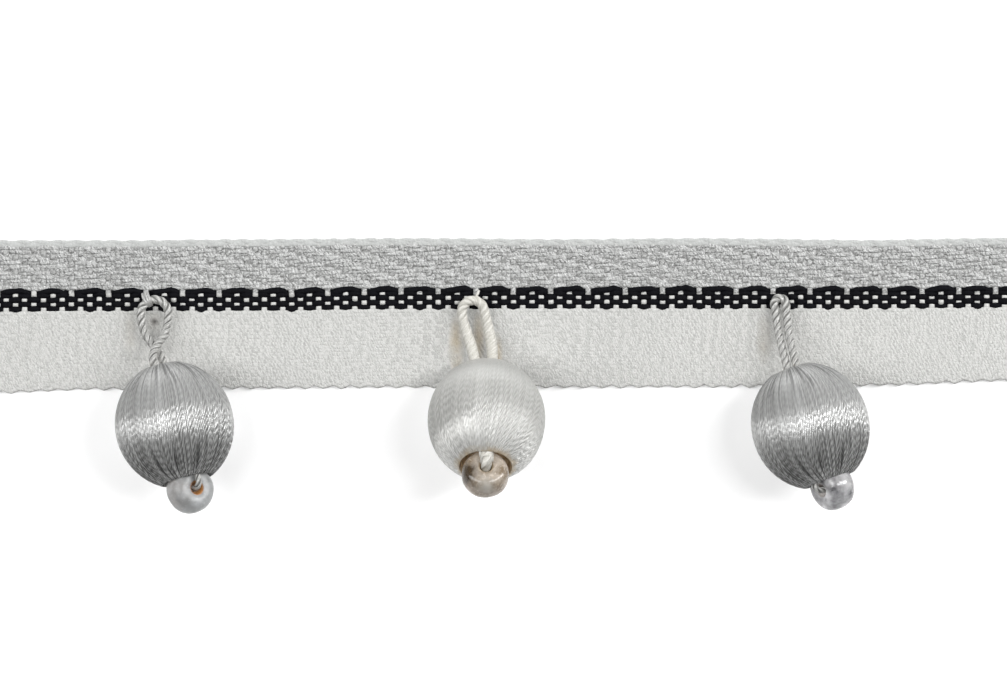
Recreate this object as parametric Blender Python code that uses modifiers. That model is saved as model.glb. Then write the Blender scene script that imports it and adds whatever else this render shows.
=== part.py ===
"""Ball fringe trim: a cut length of woven tape with three wound balls hanging from it.

Each ball hangs on a twisted cord loop. The loop is caught on the tape's front, runs through the
ball's bore, and a glass bead threaded on it stops the ball at the lower end. The trim lies on its
back, as it was laid out, so +Y is the tape's upper edge and the balls lie below its lower edge.

Metres, +Z up. The tape's back is the plane z = 0, with the origin at the middle of that face.
"""

import math
from typing import NamedTuple

import bmesh
import bpy
from mathutils import Matrix, Vector

# The woven tape. Its length is a whole number of wefts, and two wefts make one edge scallop.
WEFT_COUNT = 116
WEFT_PITCH = 0.001173
TAPE_LENGTH = WEFT_COUNT * WEFT_PITCH
TAPE_WIDTH = 0.0187
SCALLOP = 0.00009
TAPE_FACE = 0.0010
CHAIN_FACE = 0.0011
EDGE_FACE = 0.0005


class Row(NamedTuple):
    """One line of points along the tape: its distance from the middle line, and its height."""

    across: float
    height: float


TAPE_ROWS = (
    Row(across=-TAPE_WIDTH / 2, height=EDGE_FACE),
    Row(across=-0.0089, height=0.0008),
    Row(across=-0.0080, height=TAPE_FACE),
    Row(across=0.0002, height=TAPE_FACE),
    Row(across=0.0005, height=CHAIN_FACE),
    Row(across=0.0026, height=CHAIN_FACE),
    Row(across=0.0029, height=TAPE_FACE),
    Row(across=0.0083, height=TAPE_FACE),
    Row(across=0.0090, height=0.0008),
    Row(across=TAPE_WIDTH / 2, height=EDGE_FACE),
)


class Drift(NamedTuple):
    """How far the weaving wanders across the tape at one place along it."""

    along: float
    upper_edge: float
    chain: float
    lower_edge: float


CHAIN_MIDDLE = 0.0015
DRIFTS = (
    Drift(along=-TAPE_LENGTH / 2, upper_edge=-0.00010, chain=-0.00015, lower_edge=-0.00075),
    Drift(along=-0.0506, upper_edge=-0.00010, chain=-0.00006, lower_edge=-0.00020),
    Drift(along=-0.0316, upper_edge=0.00004, chain=-0.00006, lower_edge=-0.00006),
    Drift(along=-0.0125, upper_edge=0.00016, chain=0.00018, lower_edge=0.00006),
    Drift(along=0.0065, upper_edge=0.00004, chain=0.00024, lower_edge=0.00006),
    Drift(along=0.0256, upper_edge=0.00016, chain=0.00024, lower_edge=0.00010),
    Drift(along=0.0446, upper_edge=-0.00006, chain=0.00024, lower_edge=0.00030),
    Drift(along=TAPE_LENGTH / 2, upper_edge=0.00025, chain=0.00030, lower_edge=0.00100),
)

# The wound ball: thread carried round a bored mould, so it is a little longer than it is wide.
BALL_RADIUS = 0.00742
BALL_HALF_LENGTH = 0.00805
BALL_STEPS = 32
BALL_ARC_POINTS = 13
LIP = 0.00012
FLAT_SPOT = 0.00004


class Funnel(NamedTuple):
    """One step of a ball's mouth: its radius, and how far from the ball's middle it lies."""

    radius: float
    height: float


# The upper mouth lets in the two legs of the loop, and the lower one half holds the bead.
UPPER_MOUTH = 0.0026
UPPER_FUNNEL = (
    Funnel(radius=0.00240, height=0.0066),
    Funnel(radius=0.00215, height=0.0056),
    Funnel(radius=0.00175, height=0.0047),
)
LOWER_MOUTH = 0.0034
LOWER_FUNNEL = (
    Funnel(radius=0.00318, height=0.0064),
    Funnel(radius=0.00300, height=0.0054),
    Funnel(radius=0.00240, height=0.0046),
)
BORE_DEPTH = 0.0038
BORE_ROOM = 0.0004

# The glass bead, a short thick ring with a round side.
BEAD_RADIUS = 0.00295
BEAD_HALF_LENGTH = 0.00190
BEAD_HOLE = 0.00068
BEAD_HOLE_LENGTH = 0.0033
BEAD_ROUNDNESS = 2.4
BEAD_SIDE_STEPS = 4
BEAD_STEPS = 22

# The twisted cord: three plies, right-handed. It is pressed thinner inside the ball and the bead.
PLIES = 3
LAY = 0.0032
CREST_ANGLE = math.radians(27)
CREST_SHARE = 0.90
GROOVE_SHARE = 0.62
SQUEEZE = 0.70
SQUEEZE_LENGTH = 0.0024
RING_STEP = 0.00048
HIDDEN_RING_STEP = 0.0024
SAMPLES_PER_SPAN = 24

# The cord's route: the arch of the loop, the legs in the bore, and the way round the bead.
ARCH_ANGLES = (160, 125, 90, 55, 20)
LEG_GAP = 0.0003
BORE_STRAIGHT = 0.0030
BEAD_SHOULDER = (20, 45, 70)
BEND_ANGLES = (0, 30, 60, 90)
BEND_RADIUS = 0.0009
BEAD_GAP = 0.00024

# Each finish: its colour and its roughness.
FINISHES = {
    "white_yarn": ((0.72, 0.72, 0.68), 0.55),
    "grey_yarn": ((0.42, 0.42, 0.41), 0.38),
    "white_silk": ((0.76, 0.76, 0.73), 0.35),
    "grey_silk": ((0.38, 0.38, 0.375), 0.32),
    "clear_glass": ((0.62, 0.62, 0.62), 0.12),
}


class Station(NamedTuple):
    """One place down a loop: how far below its middle, and where its two legs are there."""

    down: float
    left: float
    right: float
    left_height: float
    right_height: float


class Hanger(NamedTuple):
    """One ball with its loop and bead, measured from the loop's middle on the tape.

    The ball's axis swings sideways from straight down, and its lower end tilts up off the surface.
    The bead lies that far out along the axis, with one end of its hole facing the given way.
    """

    name: str
    along: float
    cord_radius: float
    loop_top: float
    loop_half: float
    loop_height: float
    stations: tuple
    legs_cross: bool
    ball_side: float
    ball_down: float
    swing: float
    tilt: float
    bead_out: float
    bead_faces: tuple
    yarn: str
    silk: str


HANGERS = (
    Hanger(
        name="left",
        along=-0.04418,
        cord_radius=0.00056,
        loop_top=0.00170,
        loop_half=0.00172,
        loop_height=0.00202,
        stations=(
            Station(down=0.0005, left=-0.00174, right=0.00172, left_height=0.0021, right_height=0.0022),
            Station(down=0.0026, left=-0.00120, right=0.00136, left_height=0.0023, right_height=0.0028),
            Station(down=0.0042, left=-0.00006, right=0.00044, left_height=0.0030, right_height=0.0045),
            Station(down=0.0056, left=0.00098, right=0.00002, left_height=0.0042, right_height=0.0059),
        ),
        legs_cross=True,
        ball_side=0.00284,
        ball_down=0.01410,
        swing=math.radians(14),
        tilt=math.radians(9),
        bead_out=0.0085,
        bead_faces=(0.52, 0.18, 0.83),
        yarn="grey_yarn",
        silk="grey_silk",
    ),
    Hanger(
        name="middle",
        along=-0.00387,
        cord_radius=0.00063,
        loop_top=0.00160,
        loop_half=0.00142,
        loop_height=0.00208,
        stations=(
            Station(down=0.0004, left=-0.00135, right=0.00160, left_height=0.0021, right_height=0.0021),
            Station(down=0.0024, left=-0.00085, right=0.00205, left_height=0.0022, right_height=0.0022),
            Station(down=0.0048, left=-0.00005, right=0.00245, left_height=0.0027, right_height=0.0027),
        ),
        legs_cross=False,
        ball_side=0.00173,
        ball_down=0.01350,
        swing=math.radians(-1),
        tilt=math.radians(37),
        bead_out=0.0084,
        bead_faces=(0.05, 0.58, 0.81),
        yarn="white_yarn",
        silk="white_silk",
    ),
    Hanger(
        name="right",
        along=0.03499,
        cord_radius=0.00056,
        loop_top=0.00190,
        loop_half=0.00070,
        loop_height=0.00212,
        stations=(
            Station(down=0.0004, left=-0.00048, right=0.00088, left_height=0.0021, right_height=0.0024),
            Station(down=0.0024, left=-0.00018, right=0.00106, left_height=0.0027, right_height=0.0031),
            Station(down=0.0048, left=0.00030, right=0.00152, left_height=0.0040, right_height=0.0044),
        ),
        legs_cross=False,
        ball_side=0.00356,
        ball_down=0.01425,
        swing=math.radians(19.5),
        tilt=math.radians(6),
        bead_out=0.0081,
        bead_faces=(-0.79, -0.26, 0.56),
        yarn="grey_yarn",
        silk="grey_silk",
    ),
)


def clear_scene():
    """Removes whatever the scene holds."""
    for item in list(bpy.data.objects):
        bpy.data.objects.remove(item, do_unlink=True)


def new_collection(name):
    """Adds a collection to the scene."""
    made = bpy.data.collections.new(name)
    bpy.context.scene.collection.children.link(made)
    return made


def material(name):
    """Gives the named finish as a material, made once."""
    found = bpy.data.materials.get(name)
    if found:
        return found
    colour, roughness = FINISHES[name]
    made = bpy.data.materials.new(name)
    made.use_nodes = True
    shader = made.node_tree.nodes["Principled BSDF"]
    shader.inputs["Base Color"].default_value = (*colour, 1.0)
    shader.inputs["Roughness"].default_value = roughness
    shader.inputs["Metallic"].default_value = 0.0
    return made


def add_part(name, data, finish, group):
    """Adds a sub-part with its finish to a collection."""
    made = bpy.data.objects.new(name, data)
    data.materials.append(material(finish))
    group.objects.link(made)
    return made


def add_guide(name, data, group):
    """Adds a cutter or a cross-section, which is no part of the trim."""
    made = bpy.data.objects.new(name, data)
    made.hide_render = True
    made.display_type = "WIRE"
    group.objects.link(made)
    return made


def eased(low, high, share):
    """Goes from low to high with no corner at either end."""
    return low + (high - low) * share * share * (3 - 2 * share)


def drift_at(along, across):
    """How far the weaving at this point is moved across the tape."""
    right = next((place for place in DRIFTS if place.along >= along), DRIFTS[-1])
    left = DRIFTS[max(0, DRIFTS.index(right) - 1)]
    span = right.along - left.along
    share = min(1.0, max(0.0, (along - left.along) / span)) if span else 0.0
    chain = eased(left.chain, right.chain, share)
    if across > CHAIN_MIDDLE:
        edge = eased(left.upper_edge, right.upper_edge, share)
        reach = (across - CHAIN_MIDDLE) / (TAPE_WIDTH / 2 - CHAIN_MIDDLE)
    else:
        edge = eased(left.lower_edge, right.lower_edge, share)
        reach = (CHAIN_MIDDLE - across) / (TAPE_WIDTH / 2 + CHAIN_MIDDLE)
    return chain + (edge - chain) * reach


def tape_point(column, row):
    """Where one weft crosses one row: its place along and across the tape."""
    along = column * WEFT_PITCH - TAPE_LENGTH / 2
    across = TAPE_ROWS[row].across
    if row in (0, len(TAPE_ROWS) - 1):
        bulge = SCALLOP if column % 2 else -SCALLOP
        across += math.copysign(bulge, across * bulge)
    return along, across + drift_at(along, across)


def build_tape(group):
    """Makes the tape: a grid of one column for each weft, raised to the height of each row."""
    bands = len(TAPE_ROWS) - 1
    bm = bmesh.new()
    bmesh.ops.create_grid(bm, x_segments=WEFT_COUNT, y_segments=bands, size=0.5)
    raised = bmesh.ops.extrude_face_region(bm, geom=bm.faces[:])["geom"]
    upper = {item for item in raised if isinstance(item, bmesh.types.BMVert)}
    for vert in bm.verts:
        column = round((vert.co.x + 0.5) * WEFT_COUNT)
        row = round((vert.co.y + 0.5) * bands)
        height = TAPE_ROWS[row].height if vert in upper else 0.0
        vert.co = (*tape_point(column, row), height)
    bmesh.ops.recalc_face_normals(bm, faces=bm.faces[:])
    mesh = bpy.data.meshes.new("tape")
    bm.to_mesh(mesh)
    bm.free()
    return add_part("tape", mesh, "white_yarn", group)


def outline_mesh(name, points):
    """Makes a closed outline in the XZ plane, ready to be turned about Z."""
    bm = bmesh.new()
    verts = [bm.verts.new((radius, 0.0, height)) for radius, height in points]
    for first, second in zip(verts, verts[1:] + verts[:1]):
        bm.edges.new((first, second))
    mesh = bpy.data.meshes.new(name)
    bm.to_mesh(mesh)
    bm.free()
    return mesh


def add_turned(name, points, steps, finish, group):
    """Adds a sub-part that is a closed outline turned about its own Z axis."""
    made = add_part(name, outline_mesh(name, points), finish, group)
    screw = made.modifiers.new("turn", "SCREW")
    screw.axis = "Z"
    screw.angle = math.tau
    screw.steps = steps
    screw.render_steps = steps
    screw.use_merge_vertices = True
    screw.merge_threshold = 0.00001
    screw.use_smooth_shade = True
    return made


def bore_radius(hanger):
    """The ball's bore: both legs of the squeezed cord side by side, with room round them."""
    return 2 * SQUEEZE * hanger.cord_radius + LEG_GAP / 2 + BORE_ROOM


def mouth_angle(mouth):
    """How far round the ball's side its mouth begins, from the waist."""
    return math.acos(mouth / BALL_RADIUS)


def mouth_outline(hanger, mouth, funnel):
    """One mouth of the ball, from its lip in to the bore."""
    lip_height = BALL_HALF_LENGTH * math.sin(mouth_angle(mouth))
    points = [(mouth - LIP, lip_height + LIP / 3)]
    points += [(step.radius, step.height) for step in funnel]
    return points + [(bore_radius(hanger), BORE_DEPTH)]


def ball_outline(hanger):
    """The ball's half section: down the outside, and back through the bore.

    The lower mouth is at the top of the section, because the ball's own Z points down the trim.
    """
    first = mouth_angle(LOWER_MOUTH)
    last = -mouth_angle(UPPER_MOUTH)
    side = []
    for index in range(BALL_ARC_POINTS):
        angle = first + (last - first) * index / (BALL_ARC_POINTS - 1)
        side.append((BALL_RADIUS * math.cos(angle), BALL_HALF_LENGTH * math.sin(angle)))
    upper = [(radius, -height) for radius, height in mouth_outline(hanger, UPPER_MOUTH, UPPER_FUNNEL)]
    lower = mouth_outline(hanger, LOWER_MOUTH, LOWER_FUNNEL)
    return side + upper + lower[::-1]


def bead_side(degrees, gap=0.0):
    """A point of the bead's half section, or one outside it by a gap: its radius and its height.

    The side is a flattened curve from the bead's waist, at 0 degrees, to its end face, at 90.
    """
    middle = BEAD_HOLE + (BEAD_RADIUS - BEAD_HOLE) / 3
    breadth = BEAD_RADIUS - middle
    across = math.cos(math.radians(degrees)) ** (2 / BEAD_ROUNDNESS)
    up = math.sin(math.radians(degrees)) ** (2 / BEAD_ROUNDNESS)
    outward_x = across ** (BEAD_ROUNDNESS - 1) / breadth
    outward_z = up ** (BEAD_ROUNDNESS - 1) / BEAD_HALF_LENGTH
    outward = Vector((outward_x, outward_z)).normalized()
    return middle + breadth * across + gap * outward.x, BEAD_HALF_LENGTH * up + gap * outward.y


def bead_outline():
    """The bead's half section: a full round side, and a hole with eased edges."""
    angles = [90 * index / BEAD_SIDE_STEPS for index in range(BEAD_SIDE_STEPS + 1)]
    upper = [bead_side(angle) for angle in reversed(angles)]
    lower = [(radius, -height) for radius, height in reversed(upper[:-1])]
    hole_end = BEAD_HOLE_LENGTH / 2
    return upper + lower + [(BEAD_HOLE, -hole_end), (BEAD_HOLE, hole_end)]


def ball_direction(hanger):
    """The way from the ball's middle to its lower mouth."""
    level = math.cos(hanger.tilt)
    side = math.sin(hanger.swing) * level
    down = math.cos(hanger.swing) * level
    return Vector((side, -down, math.sin(hanger.tilt)))


def ball_centre(hanger):
    """The ball's middle, resting on the surface that the tape lies on."""
    across = BALL_RADIUS * math.cos(hanger.tilt)
    along = BALL_HALF_LENGTH * math.sin(hanger.tilt)
    height = math.hypot(across, along) - FLAT_SPOT
    return Vector((hanger.ball_side, -hanger.ball_down, height))


def squared(way, axis):
    """The part of a direction that is square to an axis, one unit long."""
    return (way - way.dot(axis) * axis).normalized()


def bore_leg(hanger, heights, side):
    """One leg of the cord in the bore, at the given heights above the ball's middle.

    The legs lie side by side. They turn about each other on the way down, from the way that the
    loop's legs lie to the way that the cord goes round the bead.
    """
    centre = ball_centre(hanger)
    down = ball_direction(hanger)
    upper_side = squared(Vector((1.0 if hanger.legs_cross else -1.0, 0.0, 0.0)), down)
    lower_side = squared(-Vector(hanger.bead_faces), down)
    turn = math.atan2(upper_side.cross(lower_side).dot(down), upper_side.dot(lower_side))
    half_apart = SQUEEZE * hanger.cord_radius + LEG_GAP / 2
    points = []
    for height in heights:
        share = (BORE_DEPTH - height) / (2 * BORE_DEPTH)
        way = Matrix.Rotation(turn * share, 3, down) @ upper_side
        points.append(centre - down * height + way * half_apart * side)
    return points


def bead_leg(hanger, side):
    """The cord's way from the ball round one face of the bead to the bead's hole."""
    faces = Vector(hanger.bead_faces).normalized()
    bead = ball_centre(hanger) + ball_direction(hanger) * hanger.bead_out
    below = squared(ball_direction(hanger), faces)
    way = faces * side
    reach = SQUEEZE * hanger.cord_radius + BEAD_GAP
    points = []
    for degrees in BEAD_SHOULDER:
        above, out = bead_side(degrees, gap=reach)
        points.append(bead - below * above + way * out)
    corner = bead - below * BEND_RADIUS + way * (BEAD_HALF_LENGTH + reach - BEND_RADIUS)
    for degrees in BEND_ANGLES:
        bend = way * math.cos(math.radians(degrees)) + below * math.sin(math.radians(degrees))
        points.append(corner + bend * BEND_RADIUS)
    return points


def loop_points(hanger):
    """The loop on the tape: up the left leg, over the arch, and down the right leg."""
    left_leg = [Vector((place.left, -place.down, place.left_height)) for place in hanger.stations]
    right_leg = [Vector((place.right, -place.down, place.right_height)) for place in hanger.stations]
    lean = (right_leg[0].z - left_leg[0].z) / 2
    arch = []
    for degrees in ARCH_ANGLES:
        angle = math.radians(degrees)
        side = hanger.loop_half * math.cos(angle)
        up = hanger.loop_top - hanger.loop_half * (1 - math.sin(angle))
        arch.append(Vector((side, up, hanger.loop_height + lean * math.cos(angle))))
    return left_leg[::-1] + arch + right_leg


def cord_route(hanger):
    """The points that the cord runs through, from inside the bore and back to it.

    One leg goes up from the middle of the bore and round the loop. The other comes down through
    the whole bore, goes through the bead from its front to its back, and ends in the bore.
    """
    far, half, near = BORE_STRAIGHT, BORE_STRAIGHT / 2, LEG_GAP / 2
    rising = bore_leg(hanger, (near, half, far), 1)
    through = bore_leg(hanger, (far, half, 0.0, -half, -far), -1)
    ending = bore_leg(hanger, (-far, -half, -near), 1)
    front = bead_leg(hanger, 1)
    back = bead_leg(hanger, -1)
    return rising + loop_points(hanger) + through + front + back[::-1] + ending


def curve_point(corners, knots, at):
    """One point of a centripetal Catmull-Rom span."""
    level = list(corners)
    for width in (1, 2):
        level = [
            level[i].lerp(level[i + 1], (at - knots[i]) / (knots[i + width] - knots[i]))
            for i in range(len(corners) - width)
        ]
    return level[0].lerp(level[1], (at - knots[1]) / (knots[2] - knots[1]))


def smooth_line(points):
    """Close points along a smooth curve that passes through every given point."""
    ends = [2 * points[0] - points[1]] + points + [2 * points[-1] - points[-2]]
    line = []
    for index in range(len(points) - 1):
        corners = ends[index : index + 4]
        knots = [0.0]
        for first, second in zip(corners, corners[1:]):
            knots.append(knots[-1] + math.sqrt((second - first).length))
        for step in range(SAMPLES_PER_SPAN):
            at = knots[1] + (knots[2] - knots[1]) * step / SAMPLES_PER_SPAN
            line.append(curve_point(corners, knots, at))
    return line + [points[-1]]


class Ring(NamedTuple):
    """One ring of the cord: its place, how far the plies have turned, and its thickness."""

    place: Vector
    turned: float
    thickness: float


def thickness_at(depth):
    """How thick the cord is this far past the bore's upper end: pressed thinner from there on."""
    share = min(1.0, max(0.0, 1.0 + depth / SQUEEZE_LENGTH))
    return eased(1.0, SQUEEZE, share)


def cord_rings(hanger):
    """The cord's rings: close together where the twist shows, and far apart in the bore."""
    centre = ball_centre(hanger)
    down = ball_direction(hanger)
    line = smooth_line(cord_route(hanger))
    rings = [Ring(line[0], 0.0, SQUEEZE)]
    turned = 0.0
    since = 0.0
    for before, point in zip(line, line[1:]):
        gone = (point - before).length
        hidden = (point - centre).length < BORE_DEPTH
        since += gone
        turned += 0.0 if hidden else math.tau * gone / LAY
        if since >= (HIDDEN_RING_STEP if hidden else RING_STEP) or point is line[-1]:
            depth = (point - centre).dot(down) + BORE_DEPTH
            rings.append(Ring(point, turned, thickness_at(depth)))
            since = 0.0
    return rings


def ply_section(hanger, guides):
    """The cord's cross-section: three plies, as a closed outline for the curve's bevel."""
    outline = []
    for ply in range(PLIES):
        middle = math.tau * ply / PLIES
        outline.append((middle + math.pi / PLIES, GROOVE_SHARE))
        outline.append((middle + CREST_ANGLE, CREST_SHARE))
        outline.append((middle, 1.0))
        outline.append((middle - CREST_ANGLE, CREST_SHARE))
    outline.sort(reverse=True)
    shape = bpy.data.curves.new(f"section_{hanger.name}", "CURVE")
    shape.dimensions = "2D"
    spline = shape.splines.new("POLY")
    spline.points.add(len(outline) - 1)
    for point, (angle, share) in zip(spline.points, outline):
        radius = hanger.cord_radius * share
        point.co = (radius * math.cos(angle), radius * math.sin(angle), 0.0, 1.0)
    spline.use_cyclic_u = True
    return add_guide(shape.name, shape, guides)


def build_cord(hanger, anchor, group, guides):
    """Makes the twisted cord of one hanger, with the twist as the curve's tilt."""
    shape = bpy.data.curves.new(f"cord_{hanger.name}", "CURVE")
    shape.dimensions = "3D"
    shape.twist_mode = "MINIMUM"
    shape.bevel_mode = "OBJECT"
    shape.bevel_object = ply_section(hanger, guides)
    shape.use_fill_caps = True
    rings = cord_rings(hanger)
    spline = shape.splines.new("POLY")
    spline.points.add(len(rings) - 1)
    for point, ring in zip(spline.points, rings):
        point.co = (*ring.place, 1.0)
        point.tilt = ring.turned
        point.radius = ring.thickness
    made = add_part(shape.name, shape, hanger.yarn, group)
    made.parent = anchor
    return made


def build_ball(hanger, anchor, group, surface):
    """Makes the wound ball, its bore along its own Z axis and its lower mouth towards +Z.

    The surface that it rests on leaves it a small flat spot.
    """
    made = add_turned(f"ball_{hanger.name}", ball_outline(hanger), BALL_STEPS, hanger.silk, group)
    made.parent = anchor
    made.location = ball_centre(hanger)
    made.rotation_euler = ball_direction(hanger).to_track_quat("Z", "Y").to_euler()
    flat = made.modifiers.new("flat_spot", "BOOLEAN")
    flat.operation = "DIFFERENCE"
    flat.object = surface
    return made


def build_bead(hanger, anchor, group):
    """Makes the glass bead, threaded across the ball's lower mouth."""
    made = add_turned(f"bead_{hanger.name}", bead_outline(), BEAD_STEPS, "clear_glass", group)
    made.parent = anchor
    made.location = ball_centre(hanger) + ball_direction(hanger) * hanger.bead_out
    made.rotation_euler = Vector(hanger.bead_faces).to_track_quat("Z", "Y").to_euler()
    return made


def build_surface(guides):
    """Makes the block under the trim that cuts the balls' flat spots, its top at z = 0."""
    bm = bmesh.new()
    bmesh.ops.create_cube(bm, size=TAPE_LENGTH)
    bmesh.ops.translate(bm, vec=(0.0, 0.0, -TAPE_LENGTH / 2), verts=bm.verts[:])
    mesh = bpy.data.meshes.new("resting_surface")
    bm.to_mesh(mesh)
    bm.free()
    return add_guide(mesh.name, mesh, guides)


def build_hanger(hanger, trim, guides, surface):
    """Makes one ball with its cord and bead, all placed from the loop's middle on the tape."""
    anchor = bpy.data.objects.new(f"hanger_{hanger.name}", None)
    anchor.location = (hanger.along, 0.0, 0.0)
    trim.objects.link(anchor)
    build_cord(hanger, anchor, trim, guides)
    build_ball(hanger, anchor, trim, surface)
    build_bead(hanger, anchor, trim)


def main():
    """Builds the tape and its three hangers."""
    clear_scene()
    trim = new_collection("ball_fringe_trim")
    guides = new_collection("guides")
    surface = build_surface(guides)
    build_tape(trim)
    for hanger in HANGERS:
        build_hanger(hanger, trim, guides, surface)


main()
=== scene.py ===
"""Dresses the ball fringe trim: its woven tape, twisted loops, wound balls and glass beads.

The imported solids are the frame, in metres, with the tape's back on z = 0 and its length along X.
Sizes and places of yarn, thread and glass are given in millimetres, and become metres where a mesh
is made. The room round the trim is given in metres.
"""

import logging
import math
from dataclasses import dataclass, field
from enum import Enum

import bmesh
import bpy
import numpy as np
from mathutils import Matrix, Vector, noise


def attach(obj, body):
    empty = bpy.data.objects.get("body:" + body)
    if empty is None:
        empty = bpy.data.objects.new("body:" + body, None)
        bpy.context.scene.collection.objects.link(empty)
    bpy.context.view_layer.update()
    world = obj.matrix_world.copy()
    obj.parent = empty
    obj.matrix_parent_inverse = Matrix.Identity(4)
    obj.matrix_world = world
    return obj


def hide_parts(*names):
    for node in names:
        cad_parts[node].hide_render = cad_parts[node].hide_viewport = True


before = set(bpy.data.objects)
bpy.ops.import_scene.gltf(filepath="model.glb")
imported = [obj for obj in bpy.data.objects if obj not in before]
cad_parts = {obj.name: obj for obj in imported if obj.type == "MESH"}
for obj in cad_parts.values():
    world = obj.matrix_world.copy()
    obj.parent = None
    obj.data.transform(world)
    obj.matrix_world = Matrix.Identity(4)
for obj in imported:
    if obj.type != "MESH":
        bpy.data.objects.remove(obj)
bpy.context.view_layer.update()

log = logging.getLogger("ball_fringe_trim")

Colour = tuple[float, float, float]
Point = tuple[float, float, float]
Range = tuple[float, float]
Socket = bpy.types.NodeSocket

MM = 0.001
YARN_MAP = "yarn"
UPWARDS = (0.0, 0.0, 1.0)
MIX_INPUTS = (0, 6, 7)
MIX_RESULT = 2
POINTS_A_STRETCH = 24
WELD_METRES = 2e-7
FLAT_METRES = 1e-8

TAPE_HALF_LENGTH = 68.0
TAPE_HALF_WIDTH = 9.35
CHAIN_MIDDLE = 1.5
BALL_RADIUS = 7.42
BALL_HALF_LENGTH = 8.05
BORE_DEPTH = 3.8

# The mouths of a ball, from its rim inwards: the distance from the axis, and from the middle.
UPPER_MOUTH = ((2.60, 7.56), (2.48, 7.56), (2.40, 6.60), (2.15, 5.60), (1.75, 4.70))
LOWER_MOUTH = ((3.40, 7.16), (3.28, 7.20), (3.18, 6.40), (3.00, 5.40), (2.40, 4.60))

# Where single wefts lie along the tape: the weft's number, and its place.
WEFT_PLACES = (
    (-3, -67.45), (1, -63.09), (19, -41.83), (31, -28.03), (41, -16.56), (49, -7.05),
    (61, 7.18), (71, 19.01), (81, 30.67), (91, 42.38), (101, 54.33), (109, 63.60), (112, 67.45),
)

# Where a mark starts to show and where it is full, as shares of its reach.
MARK_FADE = (1.0, 0.15)

# How far the weaving wanders across the tape: place along, upper edge, chain, lower edge.
DRIFTS = (
    (-68.04, -0.10, -0.15, -0.75),
    (-50.6, -0.10, -0.06, -0.20),
    (-31.6, 0.04, -0.06, -0.06),
    (-12.5, 0.16, 0.18, 0.06),
    (6.5, 0.04, 0.24, 0.06),
    (25.6, 0.16, 0.24, 0.10),
    (44.6, -0.06, 0.24, 0.30),
    (68.04, 0.25, 0.30, 1.00),
)


def toned(colour: Colour, share: float) -> Colour:
    """Gives a colour made darker or lighter by a share."""
    return tuple(min(1.0, share * part) for part in colour)


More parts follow.
